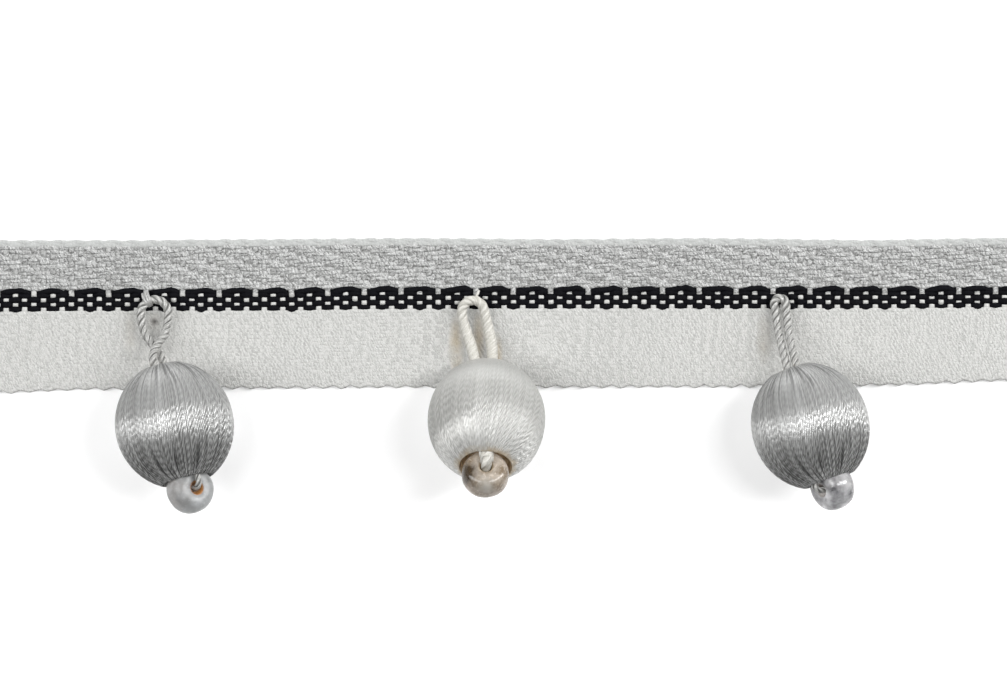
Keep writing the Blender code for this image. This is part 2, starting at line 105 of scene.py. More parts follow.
class NodeSheet:
    """A material's nodes, with short ways to add and join them."""

    def __init__(self, name: str) -> None:
        """Starts a material that has one principled shader.

        Args:
            name: the material's name.
        """
        self.material = bpy.data.materials.new(name)
        self.material.use_nodes = True
        self.tree = self.material.node_tree
        self.shader = self.tree.nodes["Principled BSDF"]

    def node(self, kind: str) -> bpy.types.Node:
        """Adds a shader node of the given kind."""
        return self.tree.nodes.new(f"ShaderNode{kind}")

    def put(self, socket: Socket, value: object) -> None:
        """Sets a socket to a constant, or joins it to another node's output.

        Args:
            socket: the input to fill.
            value: an output, a number, a vector, or a colour without its alpha.
        """
        if isinstance(value, bpy.types.NodeSocket):
            self.tree.links.new(value, socket)
        else:
            socket.default_value = (*value, 1.0) if socket.type == "RGBA" else value

    def shade(self, **values: object) -> None:
        """Sets the shader's sockets.

        Args:
            values: constants or outputs, each under its socket's name with underscores.
        """
        for name, value in values.items():
            label = name.replace("_", " ").title().replace("Ior", "IOR")
            self.put(self.shader.inputs[label], value)

    def math(self, operation: str, *values: object) -> Socket:
        """Adds one step of arithmetic.

        Args:
            operation: what the step does.
            values: what it does it to, constants or outputs.
        Returns:
            The result.
        """
        node = self.node("Math")
        node.operation = operation
        for socket, value in zip(node.inputs, values):
            self.put(socket, value)
        return node.outputs[0]

    def plus(self, first: object, second: object) -> Socket:
        """Adds two values."""
        return self.math("ADD", first, second)

    def times(self, first: object, second: object) -> Socket:
        """Multiplies two values."""
        return self.math("MULTIPLY", first, second)

    def scaled(self, value: object, factor: object, start: object) -> Socket:
        """Gives a value times a factor, plus a start."""
        return self.math("MULTIPLY_ADD", value, factor, start)

    def wave(self, angle: object) -> Socket:
        """Gives a wave from 0 to 1 for an angle in radians."""
        return self.scaled(self.math("SINE", angle), 0.5, 0.5)

    def blend(self, first: object, second: object, share: float) -> Socket:
        """Puts a share of the second value in the place of the first."""
        return self.plus(self.times(first, 1.0 - share), self.times(second, share))

    def mix(self, share: object, first: object, second: object) -> Socket:
        """Mixes two colours.

        Args:
            share: how much of the second colour shows.
            first: the first colour.
            second: the second colour.
        Returns:
            The mixed colour.
        """
        node = self.node("Mix")
        node.data_type = "RGBA"
        for place, value in zip(MIX_INPUTS, (share, first, second)):
            self.put(node.inputs[place], value)
        return node.outputs[MIX_RESULT]

    def clamp(self, value: object, low: float, high: float) -> Socket:
        """Maps a value from low..high onto 0..1, held at both ends.

        Args:
            value: the value.
            low: what becomes 0.
            high: what becomes 1, and may be less than low.
        Returns:
            The mapped value.
        """
        node = self.node("MapRange")
        self.put(node.inputs["Value"], value)
        node.inputs["From Min"].default_value = low
        node.inputs["From Max"].default_value = high
        return node.outputs["Result"]

    def place(self, scale: tuple = (1.0, 1.0, 1.0), move: tuple = (0.0, 0.0, 0.0)) -> Socket:
        """Gives the place on the piece in object coordinates.

        Args:
            scale: what each coordinate is multiplied by.
            move: what is added to it then.
        Returns:
            The scaled and moved place.
        """
        mapping = self.node("Mapping")
        self.put(mapping.inputs["Vector"], self.node("TexCoord").outputs["Object"])
        mapping.inputs["Scale"].default_value = scale
        mapping.inputs["Location"].default_value = move
        return mapping.outputs[0]

    def around(self) -> tuple[Socket, Socket]:
        """Reads the piece's own map.

        Returns:
            The map's two numbers, along and around.
        """
        split = self.node("SeparateXYZ")
        self.put(split.inputs[0], self.node("TexCoord").outputs["UV"])
        return split.outputs[0], split.outputs[1]

    def lumps(self, vector: Socket, detail: float, dimensions: str = "3D") -> Socket:
        """Adds noise around one half.

        Args:
            vector: the place in the noise, whose lumps are about 1 across.
            detail: how much finer noise rides on them.
            dimensions: whether the noise is flat, 2D, or solid, 3D.
        Returns:
            The noise.
        """
        node = self.node("TexNoise")
        node.noise_dimensions = dimensions
        node.inputs["Scale"].default_value = 1.0
        node.inputs["Detail"].default_value = detail
        self.put(node.inputs["Vector"], vector)
        return node.outputs["Fac"]

    def grain(self, size: float, detail: float = 2.0) -> Socket:
        """Adds noise on the piece, with lumps of the given size in millimetres."""
        return self.lumps(self.place((1 / (size * MM),) * 3), detail)

    def scatter(self, across: object, along: object, low: float, high: float) -> Socket:
        """Adds flat noise over two numbers.

        Args:
            across: the first number, one lump for each whole number.
            along: the second number.
            low: the noise that gives 0.
            high: the noise that gives 1.
        Returns:
            The noise, from 0 to 1.
        """
        join = self.node("CombineXYZ")
        self.put(join.inputs[0], across)
        self.put(join.inputs[1], along)
        return self.clamp(self.lumps(join.outputs[0], 1.0, "2D"), low, high)

    def marked(self, mark: "Mark") -> Socket:
        """Finds a mark on the tape.

        Args:
            mark: the mark.
        Returns:
            1 on the mark, fading to 0 at its reach.
        """
        length = self.node("VectorMath")
        length.operation = "LENGTH"
        scale = (1 / (mark.width * MM), 1 / (mark.reach * MM), 0.0)
        move = (-mark.x / mark.width, -mark.y / mark.reach, 0.0)
        self.put(length.inputs[0], self.place(scale, move))
        return self.clamp(length.outputs["Value"], *MARK_FADE)

    def bump(self, height: object, depth: float) -> None:
        """Raises the surface.

        Args:
            height: where it is raised, from 0 to 1.
            depth: how far, in millimetres.
        """
        node = self.node("Bump")
        node.inputs["Distance"].default_value = depth * MM
        self.put(node.inputs["Height"], height)
        self.put(self.shader.inputs["Normal"], node.outputs[0])


@dataclass(frozen=True)
class Mark:
    """A patch of painted shade on the tape: a cord's painted shadow, or painted shade in and round
    a small pit.
    """

    x: float
    y: float
    width: float
    reach: float
    colour: Colour
    strength: float


@dataclass(frozen=True)
class YarnFinish:
    """A twisted yarn: strokes that slant across it, and flecks of light and shade.

    The strokes are even in part and torn in part; groove sets the painted shade down its sides.
    """

    name: str
    light: Colour
    dark: Colour
    stroke_length: float
    strokes_round: int = 1
    relief: float = 0.03
    roughness: float = 0.5
    specular: float = 0.5
    sheen: float = 0.0
    fleck: float = 0.5
    groove: float = 0.0
    tear: float = 0.6
    marks: tuple[Mark, ...] = ()
    bend: float = 5.0
    bend_size: float = 0.55
    fleck_size: float = 0.16
    shadow_patch_size: float = 1.6
    groove_shade: float = 0.2
    shadow_dark_share: float = 0.82
    tear_scale: Range = (0.28, 2.6)
    tear_noise: Range = (0.38, 0.62)
    fleck_noise: Range = (0.34, 0.66)
    shadow_patch_noise: Range = (0.1, 0.6)
    groove_crown: Range = (0.80, 0.0)
    sheen_roughness: float = 0.4

    def build(self) -> bpy.types.Material:
        """Makes the material.

        Returns:
            The material.
        """
        sheet = NodeSheet(self.name)
        along, around = sheet.around()
        turns = sheet.times(along, math.tau / self.stroke_length)
        slant = sheet.times(around, math.tau * self.strokes_round)
        bend = sheet.times(sheet.grain(self.bend_size, 1.0), self.bend)
        phase = sheet.plus(sheet.plus(turns, slant), bend)
        tears = (sheet.times(phase, self.tear_scale[0]), sheet.times(around, self.tear_scale[1]))
        torn = sheet.scatter(*tears, *self.tear_noise)
        stroke = sheet.blend(sheet.wave(phase), torn, self.tear)
        fleck = sheet.clamp(sheet.grain(self.fleck_size), *self.fleck_noise)
        mixed = sheet.blend(stroke, fleck, self.fleck)
        colour = sheet.mix(mixed, self.dark, self.light)
        # Painted shade down the yarn's sides, where it meets its neighbours.
        if self.groove:
            crown = sheet.math("SINE", sheet.times(around, math.tau))
            sunk = sheet.times(sheet.clamp(crown, *self.groove_crown), self.groove)
            colour = sheet.mix(sunk, colour, toned(self.dark, self.groove_shade))
        # Each mark paints shade on the yarn: patchy, and darker where the yarn's strokes are dark.
        for mark in self.marks:
            size = min(self.shadow_patch_size, 2 * mark.reach)
            uneven = sheet.clamp(sheet.grain(size), *self.shadow_patch_noise)
            painted_shadow = sheet.times(sheet.times(sheet.marked(mark), uneven), mark.strength)
            shadow_colour = sheet.mix(mixed, toned(mark.colour, self.shadow_dark_share), mark.colour)
            colour = sheet.mix(painted_shadow, colour, shadow_colour)
        sheet.bump(mixed, self.relief)
        sheet.shade(
            base_color=colour, roughness=self.roughness, specular_ior_level=self.specular,
            sheen_weight=self.sheen, sheen_roughness=self.sheen_roughness,
        )
        return sheet.material


@dataclass(frozen=True)
class SilkFinish:
    """Wound silky thread: each thread its own shade, with the dashes of its twist along it.

    The map's second number is the way along a thread from the lower mouth's rim. The painted lower
    values paint shade next to that rim on the grey silk, and light with brighter glints on the
    white silk; gap values paint shade between gathered threads, and the dashes are partly painted
    glint.
    Soaked is the glue's colour at the rim itself. Each range on the thread says where its effect
    starts, and where it is full.
    """

    name: str
    light: Colour
    dark: Colour
    relief: float
    glint: float
    roughness: float
    metallic: float
    specular: float = 0.8
    anisotropic: float = 0.95
    dash_length: float = 0.95
    dash_slant: float = 0.55
    dash_shift: float = 7.0
    bend: float = 0.8
    bend_size: float = 1.1
    fleck_size: float = 0.14
    gathered: float = 0.8
    gap_shade: float = 0.15
    painted_lower_strength: float = 0.0
    painted_lower_bias: float = 0.0
    low_reach: float = 9.0
    painted_lower_colour: Colour = (0.0, 0.0, 0.0)
    soaked: Colour | None = None
    upper_contrast: float = 0.85
    upper_relief: float = 0.35
    middle_shade: float = 0.49
    fleck_noise: Range = (0.35, 0.65)
    gap_noise: Range = (0.47, 0.37)
    gap_scale: Range = (0.42, 0.16)
    lower_half: Range = (12.0, 8.0)
    lower_gaps: Range = (8.0, 1.5)
    upper_gaps: Range = (10.5, 15.5)
    upper_gap_share: float = 0.6
    low_full: float = 2.5
    soaked_reach: Range = (-0.1, -1.2)
    soaked_size: float = 0.8
    soaked_tear: float = -1.9
    fleck_share: float = 0.12
    own_share: float = 0.42
    dash_and_glint_share: float = 0.50

    def shades(self, sheet: NodeSheet, thread: Socket, along: Socket) -> list[Socket]:
        """Gives the threads' dashes, partly painted glints, and shades, calmer in the upper half.

        Args:
            sheet: the material's nodes.
            thread: the thread's number, with the way across it as the fraction.
            along: the way along it.
        Returns:
            The dashes, the height and the shade, each from 0 to 1.
        """
        chance = sheet.node("TexWhiteNoise")
        chance.noise_dimensions = "1D"
        sheet.put(chance.inputs["W"], sheet.math("FLOOR", thread))
        own = chance.outputs["Value"]
        turns = sheet.math("DIVIDE", along, self.dash_length)
        slant = sheet.times(sheet.math("FRACT", thread), self.dash_slant)
        phase = sheet.plus(sheet.plus(turns, slant), sheet.times(own, self.dash_shift))
        bend = sheet.times(sheet.grain(self.bend_size, 1.0), self.bend)
        dash = sheet.wave(sheet.times(sheet.plus(phase, bend), math.tau))
        fleck = sheet.clamp(sheet.grain(self.fleck_size, 1.0), *self.fleck_noise)
        # The dashes' colour is partly painted glint: full contrast only in the lower half, calmer
        # above.
        lower = sheet.clamp(along, *self.lower_half)
        least = self.upper_relief * self.upper_contrast
        height = sheet.scaled(fleck, self.fleck_share, sheet.math("SUBTRACT", dash, 0.5))
        height = sheet.scaled(height, sheet.scaled(lower, 1.0 - least, least), 0.5)
        contrast = sheet.scaled(lower, 1.0 - self.upper_contrast, self.upper_contrast)
        tone = sheet.times(sheet.math("SUBTRACT", own, 0.5), contrast)
        own_tone = sheet.scaled(tone, self.own_share, self.own_share / 2)
        return [dash, height, sheet.plus(own_tone, sheet.times(height, self.dash_and_glint_share))]

    def build(self) -> bpy.types.Material:
        """Makes the material.

        Returns:
            The material.
        """
        sheet = NodeSheet(self.name)
        thread, along = sheet.around()
        dash, height, shade = self.shades(sheet, thread, along)
        colour = sheet.mix(shade, self.dark, self.light)
        # Painted shade: darker lines between gathered threads, towards both mouths.
        upper_end = sheet.times(sheet.clamp(along, *self.upper_gaps), self.upper_gap_share)
        ends = sheet.math("MAXIMUM", sheet.clamp(along, *self.lower_gaps), upper_end)
        crowds = (sheet.times(thread, self.gap_scale[0]), sheet.times(along, self.gap_scale[1]))
        crowd = sheet.scatter(*crowds, *self.gap_noise)
        gap = sheet.times(crowd, sheet.times(ends, self.gathered))
        colour = sheet.mix(gap, colour, toned(self.dark, self.gap_shade))
        # Painted shade by the lower mouth on grey silk; painted light and brighter glints on white.
        kept = sheet.scaled(shade, self.painted_lower_bias, 1.0 - self.middle_shade * self.painted_lower_bias)
        near = sheet.clamp(along, self.low_reach, self.low_full)
        low = sheet.times(near, sheet.times(kept, self.painted_lower_strength))
        colour = sheet.mix(low, colour, self.painted_lower_colour)
        if self.soaked:
            reach = sheet.scaled(sheet.grain(self.soaked_size, 3.0), self.soaked_tear, along)
            colour = sheet.mix(sheet.clamp(reach, *self.soaked_reach), colour, self.soaked)
        sheet.bump(height, self.relief)
        sheet.shade(
            base_color=colour,
            roughness=sheet.scaled(dash, self.glint - self.roughness, self.roughness),
            specular_ior_level=self.specular,
            metallic=self.metallic,
            anisotropic=self.anisotropic,
        )
        tangent = sheet.node("Tangent")
        tangent.direction_type = "UV_MAP"
        tangent.uv_map = YARN_MAP
        sheet.put(sheet.shader.inputs["Tangent"], tangent.outputs[0])
        return sheet.material


@dataclass(frozen=True)
class Spot:
    """A torn-edged patch of another colour in a bead's glass."""

    place: Point
    reach: float
    colour: Colour


@dataclass(frozen=True)
class GlassFinish:
    """Old pressed glass, cloudy and gritty in places, with a tinted lining in its hole."""

    name: str
    clear: Colour
    cloudy: Colour
    lining: Colour
    transmission: float
    roughness: float
    grit: float = 0.15
    spots: tuple[Spot, ...] = ()
    cloud_size: float = 1.5
    cloud_noise: Range = (0.35, 0.68)
    grit_size: float = 0.36
    grit_noise: Range = (0.54, 0.72)
    grit_shade: float = 1.5
    tear: float = 1.6
    tear_size: float = 0.8
    tear_edges: Range = (0.3, -0.8)
    dent: float = 0.05
    dent_size: float = 0.9
    fineness: float = 3.0
    ior: float = 1.5

    def build(self) -> bpy.types.Material:
        """Makes the material.

        Returns:
            The material.
        """
        sheet = NodeSheet(self.name)
        cloud = sheet.clamp(sheet.grain(self.cloud_size, self.fineness), *self.cloud_noise)
        body = sheet.mix(cloud, self.clear, self.cloudy)
        grit = sheet.times(sheet.clamp(sheet.grain(self.grit_size), *self.grit_noise), self.grit)
        body = sheet.mix(grit, body, toned(self.clear, self.grit_shade))
        for spot in self.spots:
            away = sheet.node("VectorMath")
            away.operation = "DISTANCE"
            sheet.put(away.inputs[0], sheet.place())
            away.inputs[1].default_value = Vector(spot.place) * MM
            lumps = sheet.grain(self.tear_size, self.fineness)
            torn = sheet.scaled(lumps, self.tear * MM, away.outputs["Value"])
            inside = sheet.clamp(torn, *((spot.reach + edge) * MM for edge in self.tear_edges))
            body = sheet.mix(inside, body, spot.colour)
        lined = sheet.node("Attribute")
        lined.attribute_name = "lining"
        sheet.bump(sheet.grain(self.dent_size, self.fineness), self.dent)
        sheet.shade(
            base_color=sheet.mix(lined.outputs["Fac"], body, self.lining), roughness=self.roughness,
            transmission_weight=self.transmission, ior=self.ior,
        )
        return sheet.material


@dataclass(frozen=True)
class MouldFinish:
    """The bored mould inside a ball, with old glue soaked into it."""

    name: str
    wood: Colour
    glue: Colour
    roughness: float = 0.32
    relief: float = 0.08
    glue_size: float = 0.9
    glue_noise: Range = (0.38, 0.62)
    pore_size: float = 0.35

    def build(self) -> bpy.types.Material:
        """Makes the material.

        Returns:
            The material.
        """
        sheet = NodeSheet(self.name)
        soaked = sheet.clamp(sheet.grain(self.glue_size, 4.0), *self.glue_noise)
        sheet.bump(sheet.grain(self.pore_size, 3.0), self.relief)
        sheet.shade(base_color=sheet.mix(soaked, self.wood, self.glue), roughness=self.roughness)
        return sheet.material


@dataclass(frozen=True)
class FloorFinish:
    """The pale floor that the trim lies on."""

    name: str
    colour: Colour
    roughness: float = 0.9
    specular: float = 0.1

    def build(self) -> bpy.types.Material:
        """Makes the material.

        Returns:
            The material.
        """
        sheet = NodeSheet(self.name)
        gloss = {"roughness": self.roughness, "specular_ior_level": self.specular}
        sheet.shade(base_color=self.colour, **gloss)
        return sheet.material


# Painted shadows beside and between the loops' legs, and painted shade in and round a small pit.
SHADOW_BEIGE = (0.45, 0.375, 0.26)
PAINTED_SHADE_MARKS = (
    Mark(-6.0, -4.2, 1.1, 4.2, SHADOW_BEIGE, 0.9),
    Mark(-3.2, -3.2, 0.9, 3.6, SHADOW_BEIGE, 0.9),
    Mark(-0.8, -5.2, 0.8, 3.0, SHADOW_BEIGE, 0.8),
    Mark(33.0, -3.3, 1.1, 3.6, (0.38, 0.355, 0.31), 0.7),
    Mark(-47.4, -2.6, 1.0, 3.2, (0.40, 0.375, 0.33), 0.5),
    Mark(-44.3, -1.1, 1.1, 1.5, (0.38, 0.36, 0.33), 0.7),
    Mark(-44.26, -1.14, 0.60, 0.60, (0.05, 0.045, 0.04), 1.0),
)

EDGE_WARP = YarnFinish(
    "white_edge_yarn", (0.45, 0.46, 0.45), (0.33, 0.335, 0.33), stroke_length=0.5, specular=0.4,
    sheen=0.1,
)
GREY_WARP = YarnFinish(
    "silver_grey_yarn", (0.59, 0.595, 0.59), (0.10, 0.10, 0.095), stroke_length=0.46,
    strokes_round=2, relief=0.09, roughness=0.28, specular=0.9, fleck=0.48, groove=0.22, tear=0.75,
)
BLACK_WARP = YarnFinish(
    "black_yarn", (0.006, 0.006, 0.008), (0.002, 0.002, 0.003), stroke_length=0.40, roughness=0.75,
    specular=0.08,
)
WHITE_WARP = YarnFinish(
    "white_warp_yarn", (0.53, 0.53, 0.515), (0.315, 0.315, 0.303), stroke_length=0.42,
    strokes_round=2, relief=0.050, roughness=0.38, specular=0.6, fleck=0.40, tear=0.8, marks=PAINTED_SHADE_MARKS,
)
WHITE_WEFT = YarnFinish(
    "white_weft_yarn", (0.52, 0.52, 0.505), (0.42, 0.42, 0.405), stroke_length=0.45, relief=0.02,
    roughness=0.42, sheen=0.1, fleck=0.6, marks=PAINTED_SHADE_MARKS,
)
# The white weft painted grey in the grey band: painted shade and reflection from the grey warps.
WEFT_PAINTED_SHADE = YarnFinish(
    "weft_yarn_painted_shade", (0.50, 0.505, 0.50), (0.10, 0.10, 0.095), stroke_length=0.46,
    strokes_round=2, relief=0.08, roughness=0.3, specular=0.8, fleck=0.48, groove=0.22, tear=0.75,
)
GROUNDS = (
    YarnFinish(
        "white_ground_yarn", (0.54, 0.54, 0.52), (0.46, 0.46, 0.44), stroke_length=0.4, relief=0.02,
        roughness=0.6, specular=0.2, fleck=0.6,
    ),
    YarnFinish(
        "black_ground_yarn", (0.005, 0.005, 0.006), (0.002, 0.002, 0.003), stroke_length=0.4,
        roughness=0.8, specular=0.05,
    ),
    # A darker copy of the grey yarn: painted shade in the gaps between the grey warps.
    YarnFinish(
        "grey_ground_painted_shade", (0.34, 0.34, 0.335), (0.12, 0.12, 0.115), stroke_length=0.3,
        relief=0.05, roughness=0.6, specular=0.3,
    ),
)
GREY_CORD = YarnFinish(
    "grey_cord_yarn", (0.47, 0.47, 0.455), (0.17, 0.17, 0.16), stroke_length=9.0, strokes_round=5,
    relief=0.035, roughness=0.28, specular=0.9, fleck=0.25, groove=0.92,
)
GREY_STITCH = YarnFinish(
    "grey_stitch_yarn", (0.54, 0.54, 0.53), (0.22, 0.22, 0.215), stroke_length=0.9, strokes_round=2,
    relief=0.035, roughness=0.32, specular=0.8, sheen=0.05, fleck=0.3,
)
WHITE_CORD = YarnFinish(
    "white_cord_yarn", (0.56, 0.55, 0.515), (0.34, 0.33, 0.29), stroke_length=9.0, strokes_round=5,
    roughness=0.42, sheen=0.05, fleck=0.25, groove=0.28,
)
WHITE_STITCH = YarnFinish(
    "white_stitch_yarn", (0.58, 0.57, 0.54), (0.46, 0.45, 0.42), stroke_length=0.9, strokes_round=2,
    relief=0.02, roughness=0.42, sheen=0.1, fleck=0.3,
)
# The painted lower colours: painted shade by the lower mouth on grey, painted light on white.
GREY_SILK = SilkFinish(
    "grey_silk", (0.57, 0.575, 0.57), (0.18, 0.18, 0.175), relief=0.034, glint=0.30, roughness=0.51,
    metallic=0.42, gathered=0.98, painted_lower_strength=0.42, painted_lower_bias=-2.4,
    painted_lower_colour=(0.054, 0.054, 0.0525),
)
WHITE_SILK = SilkFinish(
    "white_silk", (0.52, 0.52, 0.505), (0.29, 0.29, 0.275), relief=0.026, glint=0.32,
    roughness=0.48, metallic=0.24, gathered=0.14, painted_lower_strength=0.36, painted_lower_bias=2.0, low_reach=5.2,
    painted_lower_colour=(0.78, 0.78, 0.76), soaked=(0.42, 0.345, 0.24), upper_contrast=0.3,
)
MOULD = MouldFinish("bored_mould", wood=(0.58, 0.44, 0.28), glue=(0.26, 0.17, 0.09))
CLOUDY_GLASS = GlassFinish(
    "cloudy_glass", clear=(0.37, 0.38, 0.385), cloudy=(0.23, 0.235, 0.235),
    lining=(0.36, 0.15, 0.04), transmission=0.30, roughness=0.36, grit=0.3,
)
BROWNISH_GLASS = GlassFinish(
    "brownish_glass", clear=(0.44, 0.39, 0.33), cloudy=(0.19, 0.14, 0.09),
    lining=(0.34, 0.27, 0.18), transmission=0.30, roughness=0.24, grit=0.6,
    spots=(
        Spot((-2.1, -21.6, 15.2), 1.9, (0.47, 0.45, 0.41)),
        Spot((-4.5, -20.1, 14.2), 2.4, (0.05, 0.035, 0.02)),
    ),
)
MILKY_GLASS = GlassFinish(
    "milky_glass", clear=(0.66, 0.66, 0.67), cloudy=(0.15, 0.15, 0.16), lining=(0.30, 0.28, 0.26),
    transmission=0.50, roughness=0.14,
)


def step_lengths(points: np.ndarray) -> np.ndarray:
    """Gives the distance from each point to the next."""
    return np.linalg.norm(np.diff(points, axis=0), axis=1)


def summed(steps: np.ndarray) -> np.ndarray:
    """Gives the running sum of steps, from 0."""
    return np.concatenate([[0.0], np.cumsum(steps)])


def eased(share: np.ndarray) -> np.ndarray:
    """Eases a share from 0 to 1 with no corner at either end."""
    return share * share * (3 - 2 * share)


def smooth_line(points: np.ndarray, spacing: float) -> np.ndarray:
    """Makes evenly spaced points along a smooth curve through the given points.

    Args:
        points: the points that the curve passes through.
        spacing: how far apart the new points are.
    Returns:
        The new points.
    """
    ends = np.concatenate([[2 * points[0] - points[1]], points, [2 * points[-1] - points[-2]]])
    found = []
    for corners in (ends[place : place + 4] for place in range(len(points) - 1)):
        knots = summed(np.sqrt(step_lengths(corners)))
        at = np.linspace(knots[1], knots[2], POINTS_A_STRETCH, endpoint=False)[:, None]
        level = [corner[None, :] for corner in corners]
        for width in (1, 2):
            pairs = zip(level, level[1:], knots, knots[width:])
            level = [
                before + (after - before) * (at - near) / (far - near)
                for before, after, near, far in pairs
            ]
        found.append(level[0] + (level[1] - level[0]) * (at - knots[1]) / (knots[2] - knots[1]))
    dense = np.concatenate([*found, points[-1:]])
    gone = summed(step_lengths(dense))
    even = np.linspace(0.0, gone[-1], round(gone[-1] / spacing) + 1)
    return np.stack([np.interp(even, gone, dense[:, axis]) for axis in range(3)], axis=1)


def carried_frame(line: np.ndarray) -> tuple[np.ndarray, np.ndarray]:
    """Gives two ways square to a line and to each other, carried along it without twist.

    Args:
        line: the line's points.
    Returns:
        The first and the second way at each point.
    """
    way = np.gradient(line, axis=0)
    way /= np.linalg.norm(way, axis=1, keepdims=True)
    first = np.empty_like(line)
    carried = np.cross(way[0], UPWARDS)
    for place, ahead in enumerate(way):
        carried = carried - ahead * np.dot(carried, ahead)
        carried /= np.linalg.norm(carried)
        first[place] = carried
    return first, np.cross(way, first)


def smooth_mesh(bm: bmesh.types.BMesh, name: str) -> bpy.types.Mesh:
    """Turns a bmesh into a smoothly shaded mesh.

    Args:
        bm: the bmesh, which is freed.
        name: the mesh's name.
    Returns:
        The mesh.
    """
    mesh = bpy.data.meshes.new(name)
    bm.to_mesh(mesh)
    bm.free()
    mesh.shade_smooth()
    return mesh


def grid_mesh(name: str, sizes: list[tuple[int, int]]) -> tuple[bpy.types.Mesh, np.ndarray]:
    """Makes flat grids, to be rolled up.

    Args:
        name: the mesh's name.
        sizes: how many faces each grid has along and across.
    Returns:
        The mesh, and where each point lies in its grid, from 0 to 1 along and across.
    """
    bm = bmesh.new()
    for along, across in sizes:
        bmesh.ops.create_grid(bm, x_segments=along, y_segments=across, size=1.0)
    mesh = smooth_mesh(bm, name)
    flat = np.empty(len(mesh.vertices) * 3)
    mesh.vertices.foreach_get("co", flat)
    return mesh, (flat.reshape(-1, 3) + 1) / 2


def welded(mesh: bpy.types.Mesh, placed: np.ndarray, mapped: np.ndarray) -> bpy.types.Mesh:
    """Rolls grids up: places and maps their points, closes seams, and turns faces outwards.

    Args:
        mesh: the flat grids.
        placed: a place in millimetres for each point.
        mapped: a place on the map for each point.
    Returns:
        The same mesh, closed and shaded smooth.
    """
    mesh.vertices.foreach_set("co", (placed * MM).ravel())
    corners = np.empty(len(mesh.loops), dtype=np.int32)
    mesh.loops.foreach_get("vertex_index", corners)
    layer = mesh.uv_layers.new(name=YARN_MAP)
    layer.data.foreach_set("uv", mapped[corners].ravel())
    bm = bmesh.new()
    bm.from_mesh(mesh)
    bmesh.ops.remove_doubles(bm, verts=bm.verts[:], dist=WELD_METRES)
    bmesh.ops.dissolve_degenerate(bm, edges=bm.edges[:], dist=FLAT_METRES)
    bmesh.ops.recalc_face_normals(bm, faces=bm.faces[:])
    bm.to_mesh(mesh)
    bm.free()
    mesh.shade_smooth()
    return mesh


def add_piece(mesh: bpy.types.Mesh, slot: str, *materials: bpy.types.Material) -> bpy.types.Object:
    """Adds a piece that rides on the trim.

    Args:
        mesh: its mesh, already in place.
        slot: the piece's material slot; not used.
        materials: its finishes, in the order of its faces' material numbers.
    Returns:
        The piece.
    """
    piece = bpy.data.objects.new(mesh.name, mesh)
    for material in materials:
        mesh.materials.append(material)
    bpy.context.scene.collection.objects.link(piece)
    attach(piece, "root")
    log.info("%s: %d faces", piece.name, len(mesh.polygons))
    return piece


@dataclass
class Strand:
    """One yarn: the line it follows, which way is up on it, and its half sizes there."""

    line: np.ndarray
    up: np.ndarray
    half_width: np.ndarray
    half_height: np.ndarray
    start: float = 0.0
    roundness: float = 1.0

    def along(self) -> np.ndarray:
        """Gives the distance along the yarn at each point."""
        return summed(step_lengths(self.line))

    def side(self) -> np.ndarray:
        """Gives the way across the yarn, square to its line and to up."""
        across = np.cross(np.gradient(self.line, axis=0), self.up)
        return across / np.linalg.norm(across, axis=1, keepdims=True)

    def ended(self) -> np.ndarray:
        """Rounds the yarn off at both ends.

        Returns:
            The share of its thickness at each point.
        """
        along = self.along()
        from_end = np.minimum(along, along[-1] - along)
        reach = np.clip(from_end / max(float(self.half_width[0]), 1e-6), 0.0, 1.0)
        return np.sqrt(1.0 - (1.0 - reach) ** 2)

    def tube(self, ring: np.ndarray, share: np.ndarray) -> np.ndarray:
        """Gives points on the yarn's surface.

        Args:
            ring: the number of each point's ring along the line.
            share: how far round the ring it lies, from 0 to 1.
        Returns:
            The points.
        """
        angle = share * math.tau
        ended = self.ended()
        out = (self.half_width * ended)[ring] * np.cos(angle)
        crown = np.sign(np.sin(angle)) * np.abs(np.sin(angle)) ** self.roundness
        rise = (self.half_height * ended)[ring] * crown
        return self.line[ring] + self.side()[ring] * out[:, None] + self.up[ring] * rise[:, None]


@dataclass
class StrandBundle:
    """Many yarns made as one mesh, each a closed tube with a map that runs along it."""

    name: str
    sides: int
    strands: list[Strand] = field(default_factory=list)

    def mesh(self) -> bpy.types.Mesh:
        """Makes one grid for each yarn, rolled into a tube and welded.

        Returns:
            The mesh.
        """
        sizes = [(len(strand.line) - 1, self.sides) for strand in self.strands]
        mesh, spots = grid_mesh(self.name, sizes)
        placed = np.empty_like(spots)
        mapped = np.empty((len(spots), 2))
        first = 0
        for strand in self.strands:
            rings = len(strand.line)
            block = slice(first, first + rings * (self.sides + 1))
            first = block.stop
            ring = np.rint(spots[block, 0] * (rings - 1)).astype(int)
            placed[block] = strand.tube(ring, spots[block, 1])
            mapped[block, 0] = strand.along()[ring] + strand.start
            mapped[block, 1] = spots[block, 1]
        return welded(mesh, placed, mapped)


def drift(along: np.ndarray, across: np.ndarray) -> np.ndarray:
    """Gives how far points of the weaving are moved across the tape.

    Args:
        along: their places along the tape.
        across: their places across it.
    Returns:
        The moves.
    """
    table = np.array(DRIFTS)
    spot = np.interp(along, table[:, 0], np.arange(len(table)))
    lower = np.minimum(spot.astype(int), len(table) - 2)
    share = eased(spot - lower)
    upper_edge, chain, lower_edge = (
        table[lower, column] * (1 - share) + table[lower + 1, column] * share
        for column in (1, 2, 3)
    )
    above = across > CHAIN_MIDDLE
    edge = np.where(above, upper_edge, lower_edge)
    to_upper = (across - CHAIN_MIDDLE) / (TAPE_HALF_WIDTH - CHAIN_MIDDLE)
    to_lower = (CHAIN_MIDDLE - across) / (TAPE_HALF_WIDTH + CHAIN_MIDDLE)
    return chain + (edge - chain) * np.where(above, to_upper, to_lower)


